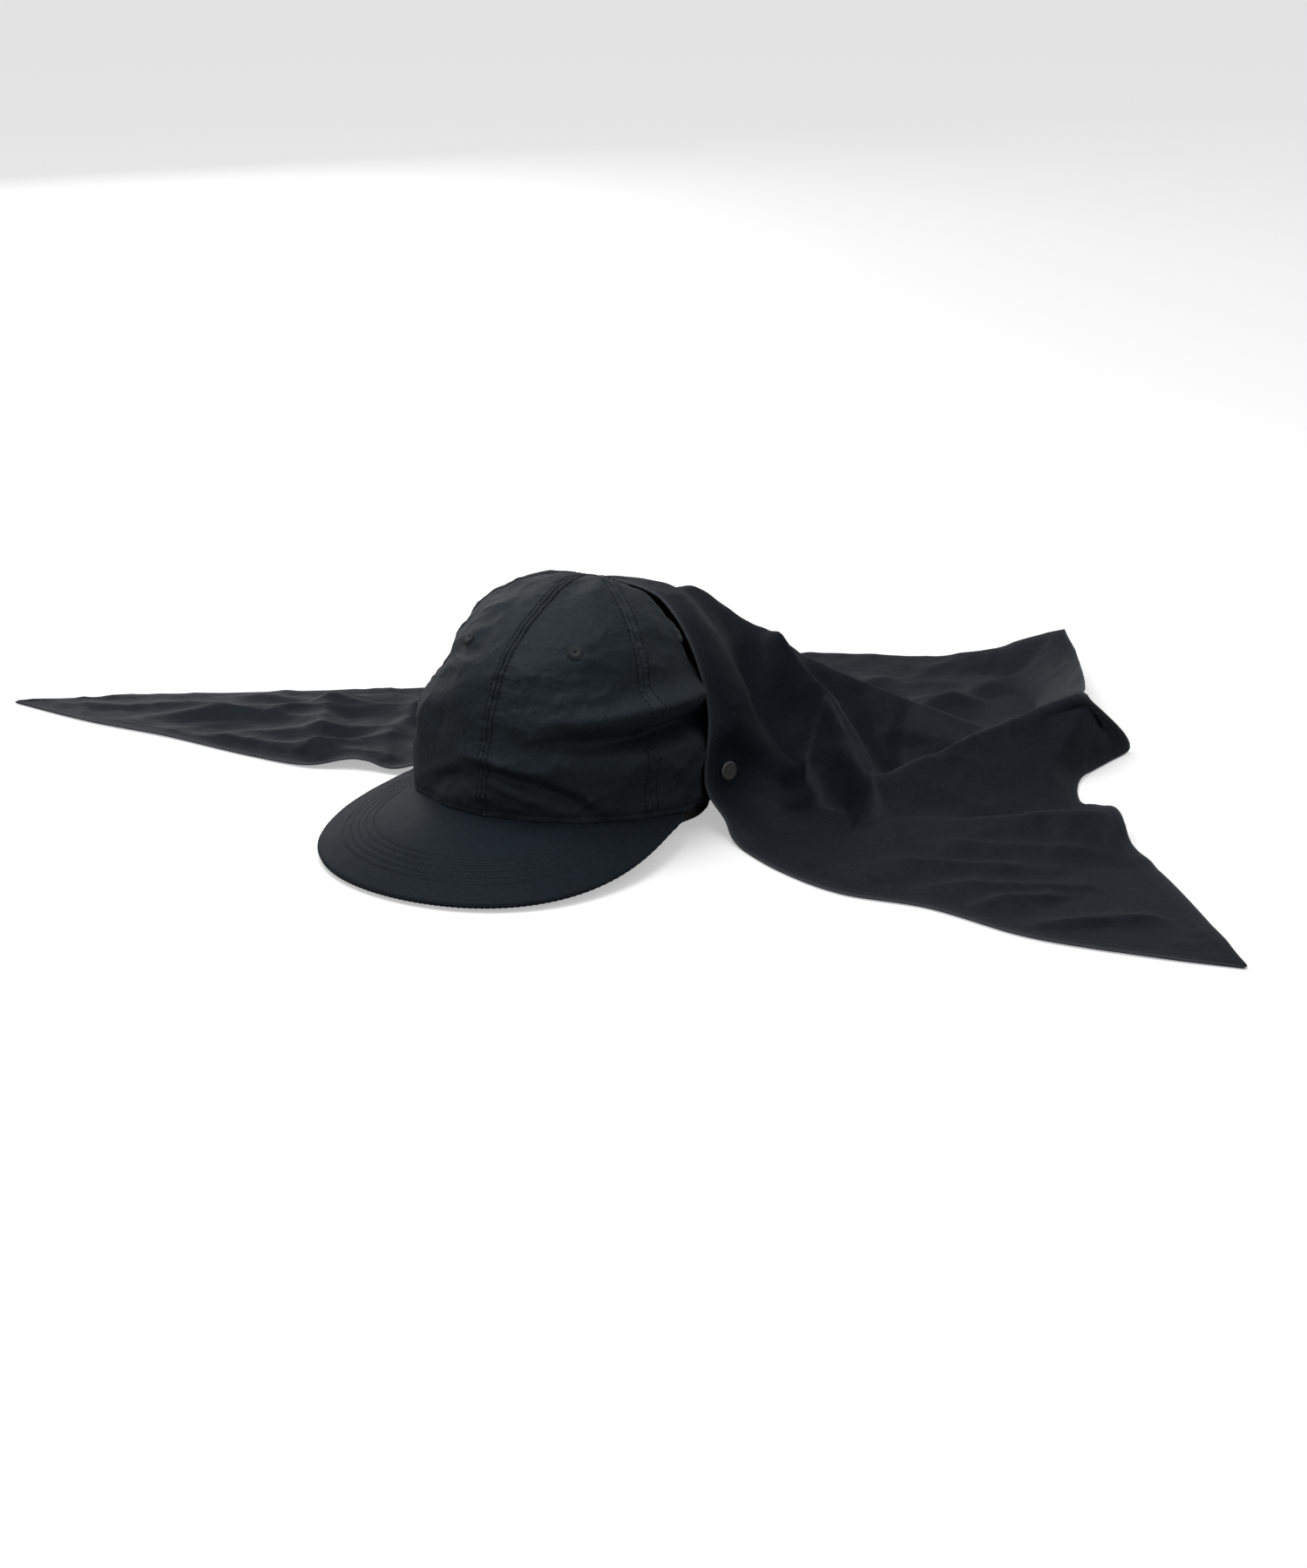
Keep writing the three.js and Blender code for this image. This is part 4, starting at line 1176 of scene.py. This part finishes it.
def ridge_height(x, y, crest, near, far, sharp):
    """A fold's height: it falls away over near on its front side and far on its back side."""
    best = np.zeros_like(x)
    for (ax, ay, az), (bx, by, bz) in zip(crest, crest[1:]):
        run_x, run_y = bx - ax, by - ay
        t = np.clip(((x - ax) * run_x + (y - ay) * run_y) / (run_x**2 + run_y**2), 0, 1)
        off_x, off_y = x - lerp(ax, bx, t), y - lerp(ay, by, t)
        away = np.hypot(off_x, off_y)
        height = lerp(az, bz, t)
        facing = (run_y * off_x - run_x * off_y) / np.maximum(away, 1e-6) / math.hypot(run_x, run_y)
        reach = (RIDGE_WIDTH + height / 4) * lerp(far, near, smooth(facing, -1, 1))
        soft = np.sqrt(away**2 + 4) - 2
        best = np.maximum(best, height * np.exp(-((soft / reach) ** sharp)))
    return best


# Deep valleys in the cape: plan points from and to, depth and width.
HOLLOWS = (
    ((112, 10), (164, 66), 30, 19),
)


def tent_height(x, y):
    reach = np.hypot(x / HALF_WIDTH, y / HALF_LENGTH) / TENT_REACH
    spread = lerp(SPREAD_SHARP, SPREAD_SOFT, smooth(x, -HALF_WIDTH, HALF_WIDTH))
    top = CROWN_HEIGHT + TENT_RISE - BACK_DROP * np.clip(y, 0, HALF_LENGTH) ** 2
    total = (top / (1 + reach**spread)) ** FOLD_MEETING
    for crest, shape in zip(RIDGES, RIDGE_SHAPES):
        total = total + ridge_height(x, y, crest, *shape) ** FOLD_MEETING
    height = total ** (1 / FOLD_MEETING)
    plan = np.stack([x, y, 0 * x], -1)
    for start, end, depth, width in HOLLOWS:
        height = height - depth * crease(plan, np.array([*start, 0.0]), np.array([*end, 0.0]), width)
    return CAPE_FLOOR + np.maximum(height, 0)


def cape_surface(share, along):
    """The cape's middle surface: share runs along its front edge, along from there to the trailing edge."""
    share, along = np.broadcast_arrays(share, along)
    front = FRONT_EDGE.at(share)
    trail = np.where(
        (share < 0.5)[..., None],
        RIGHT_TRAIL.at(np.clip(2 * share, 0, 1)),
        LEFT_TRAIL.at(np.clip(2 * share - 1, 0, 1)),
    )
    point = lerp(front, trail, along[..., None])
    tent = tent_height(point[..., 0], point[..., 1])
    height = lerp(front[..., 2], tent, smooth(along, 0, 0.25))
    point[..., 2] = lerp(height, trail[..., 2], smooth(along, 0.85, 1))
    return point


def cape_relief(grid):
    """Small folds and creases over the cape, as heights along its normal."""
    flat = grid * np.array([1, 1, 0])
    relief = np.zeros(grid.shape[:-1]) + CAPE_SLACK
    for start, end, height, width in CAPE_CREASES:
        line = crease(flat, np.array([*start, 0.0]), np.array([*end, 0.0]), width * CAPE_CREASE_SPREAD)
        relief += CAPE_CREASE_GAIN * height * line
    relief += 1.2 * fractal(grid, 60, 21)
    relief -= 4.5 * np.abs(fractal(grid * np.array([0.8, 1.3, 1]), 85, 23, 2))
    relief -= 1.6 * np.abs(fractal(grid * np.array([1.2, 0.8, 1]), 34, 24, 2))
    relief += 0.3 * fractal(grid, 14, 22)
    return relief


def hem_share(span):
    """How much of its width the hem keeps where the cape runs out to a point."""
    return np.minimum(1, span / HEM_TAPER)


def cape_grid(cols, rows):
    """The cape's middle surface on a grid whose rows stand close at the hems."""
    share = np.linspace(0.0025, 0.9975, cols)[:, None]
    edges = cape_surface(share, np.array([[0.0]])) - cape_surface(share, np.array([[1.0]]))
    span = np.linalg.norm(edges, axis=-1)
    near = np.array(HEM_LINES) * hem_share(span) / span
    far = 1 - near[:, ::-1] / TRAIL_SLANT
    middle = np.linspace(0, 1, rows)[None, 1:-1]
    inner = lerp(near[:, -1:], far[:, :1], middle)
    along = np.concatenate([near, inner, far], axis=1)
    grid = cape_surface(share, along)
    return share, along, span, grid


def smooth_grid(grid, passes):
    """Draws each inner point halfway to the mean of its neighbours, several times."""
    for _ in range(passes):
        inner = grid[1:-1, 1:-1]
        mean = (grid[:-2, 1:-1] + grid[2:, 1:-1] + grid[1:-1, :-2] + grid[1:-1, 2:]) / 4
        grid[1:-1, 1:-1] = lerp(inner, mean, 0.5)
    return grid


def upright_normals(grid):
    normal = grid_normals(grid)
    return normal * np.where(normal[..., 2].mean() < 0, -1, 1)


def build_cape():
    cols, rows = 421, 150
    share, along, span, grid = cape_grid(cols, rows)
    grid = smooth_grid(grid, 3)
    relief = cape_relief(grid) * (smooth(along * span, 0, 14) * 0.9 + 0.1)
    grid = grid + upright_normals(grid) * relief[..., None]
    grid[..., 2] = np.maximum(grid[..., 2], CAPE_FLOOR)
    grid = square_to_snaps(grid, CLOTH_MIDDLE, 8, 34)
    finish_cape(share, along, span, grid)


def hem_shape(inside):
    """The cape's half thickness, and how much of the lighter edge colour it gets, at each distance in from
    its edge; that colour is partly wear and partly a painted highlight.
    """
    hem = 1 - smooth(inside, HEM_WIDTH - 1.0, HEM_WIDTH)
    edge_round = np.sqrt(np.clip(1 - np.clip(1 - inside / 0.6, 0, 1) ** 2, 0, 1))
    half = CAPE_HALF + HEM_EXTRA * hem * (0.4 + 0.6 * edge_round)
    half = half - 0.3 * bell(inside, HEM_LINES[HEM_STITCH], 0.8)
    # A thin painted highlight at the very edge, and slight wear over the whole hem.
    edge_wear_and_highlight = 0.9 * np.exp(-inside / 0.8) + 0.07 * hem
    return half, edge_wear_and_highlight


def finish_cape(share, along, span, grid):
    """Gives the cape its thickness, hem and stitches, as two halves, the wearer's right and left."""
    normal = upright_normals(grid)
    from_front = along * span
    from_trail = (1 - along) * span * TRAIL_SLANT
    half, edge_wear_and_highlight = hem_shape(np.minimum(from_front, from_trail) / hem_share(span))
    front_edge = 2 * CAPE_LEG / MM
    uv = np.stack([(share - 0.5) * front_edge + 0 * along, from_front], -1)
    middle = (grid.shape[0] - 1) // 2
    halves = (("right", slice(0, middle + 1)), ("left", slice(middle, None)))
    for side, columns in halves:
        part, out = grid[columns], normal[columns]
        obj = thick_cloth(f"cape_cloth_{side}", part, half[columns], CAPE_NYLON, uv[columns], out)
        # The lighter edge colour: partly wear, partly a painted highlight.
        values = edge_wear_and_highlight[columns].reshape(-1)
        add_edge_wear_and_highlight(obj, np.concatenate([values, values]))
        add_split_normals(obj, out)
        proud = out * (half[columns] + 0.1)[..., None]
        rows = (HEM_STITCH, grid.shape[1] - 1 - HEM_STITCH)
        lines = [face[:, row] for face in (part + proud, part - proud) for row in rows]
        threads = stitched(f"hem_stitches_{side}", lines, THREAD, radius=0.16)
        for piece in (obj, threads):
            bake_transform(piece)
        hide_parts("cape_cloth")


def add_split_normals(obj, normal):
    """Keeps one shading across the line where the cape's two halves meet."""
    mesh = obj.data
    cols, rows = normal.shape[:2]
    flat = normal.reshape(-1, 3)
    loops = np.empty(len(mesh.loops), int)
    mesh.loops.foreach_get("vertex_index", loops)
    wanted = np.concatenate([flat, -flat])[loops]
    own = np.empty(len(mesh.loops) * 3)
    mesh.corner_normals.foreach_get("vector", own)
    own = own.reshape(-1, 3)
    edge_columns = np.zeros((cols, rows), bool)
    edge_columns[[0, -1]] = True
    at_edge = np.concatenate([edge_columns.reshape(-1)] * 2)[loops]
    face_corners = 2 * (cols - 1) * (rows - 1) * 4  # those of the two faces come before the rim's
    shared = at_edge & (np.arange(len(mesh.loops)) < face_corners)
    own[shared] = wanted[shared]
    mesh.normals_split_custom_set(own.tolist())


# ---- Stage ----


def soft_light(name, size, power, place, target=(0, 0.05, 0.03)):
    data = bpy.data.lights.new(name, "AREA")
    data.shape = "RECTANGLE"
    data.size, data.size_y = size
    data.energy = power
    light = bpy.data.objects.new(name, data)
    light.location = place
    light.rotation_euler = (Vector(target) - Vector(place)).to_track_quat("-Z", "Y").to_euler()
    bpy.context.scene.collection.objects.link(light)


def build_floor():
    """A pale floor. It looks white, but sends less light back up at the cap."""
    size = 6.0
    corners = [(-size, -size, 0), (size, -size, 0), (size, size, 0), (-size, size, 0)]
    mesh = bpy.data.meshes.new("floor")
    mesh.from_pydata(corners, [], [(0, 1, 2, 3)])
    floor = bpy.data.objects.new("floor", mesh)
    floor.location.z = -0.0004
    bpy.context.scene.collection.objects.link(floor)
    material = bpy.data.materials.new("pale_floor")
    material.use_nodes = True
    tree = material.node_tree
    shader = tree.nodes["Principled BSDF"]
    shader.inputs["Roughness"].default_value = 0.9
    shader.inputs["Specular IOR Level"].default_value = 0.1
    shader.inputs["Emission Color"].default_value = (1, 1, 1, 1)
    seen = tree.nodes.new("ShaderNodeLightPath").outputs["Is Camera Ray"]
    tree.links.new(color_mix(tree, seen, (0.36,) * 3, (0.95,) * 3), shader.inputs["Base Color"])
    tree.links.new(math_node(tree, "MULTIPLY", seen, FLOOR_GLOW), shader.inputs["Emission Strength"])
    mesh.materials.append(material)


def build_room():
    """A white room that lights the cap softly, with two softboxes."""
    world = bpy.data.worlds.new("studio")
    world.use_nodes = True
    tree = world.node_tree
    background = tree.nodes["Background"]
    background.inputs[0].default_value = (1, 1, 1, 1)
    seen = tree.nodes.new("ShaderNodeLightPath").outputs["Is Camera Ray"]
    tree.links.new(scaled_sum(tree, seen, 1.0 - ROOM_LIGHT, ROOM_LIGHT), background.inputs[1])
    bpy.context.scene.world = world
    soft_light("back_softbox", (1.3, 0.9), 7, (-1.7, 1.5, 0.75))
    soft_light("top_softbox", (1.0, 1.0), 12, (-0.35, -0.1, 1.6))
    bpy.context.scene.view_settings.view_transform = "Standard"


def build_camera():
    """Looks from in front and to the wearer's left, a little above."""
    turn, lift = math.radians(CAMERA_TURN), math.radians(CAMERA_LIFT)
    target = Vector((0, 0, 0.015))
    back = Vector((math.sin(turn) * math.cos(lift), -math.cos(turn) * math.cos(lift), math.sin(lift)))
    data = bpy.data.cameras.new("camera")
    data.sensor_fit = "HORIZONTAL"
    data.sensor_width = 36
    data.lens = CAMERA_LENS
    data.shift_x = CAMERA_SHIFT
    camera = bpy.data.objects.new("camera", data)
    camera.location = target + back * CAMERA_DISTANCE
    camera.rotation_euler = (-back).to_track_quat("-Z", "Y").to_euler()
    bpy.context.scene.collection.objects.link(camera)
    bpy.context.scene.camera = camera


build_camera()
build_floor()
build_room()
build_crown()
crown_stitches()
seam_tapes()
build_eyelets()
build_sweatband()
build_adjuster()
build_brim()
build_snaps()
build_cape()
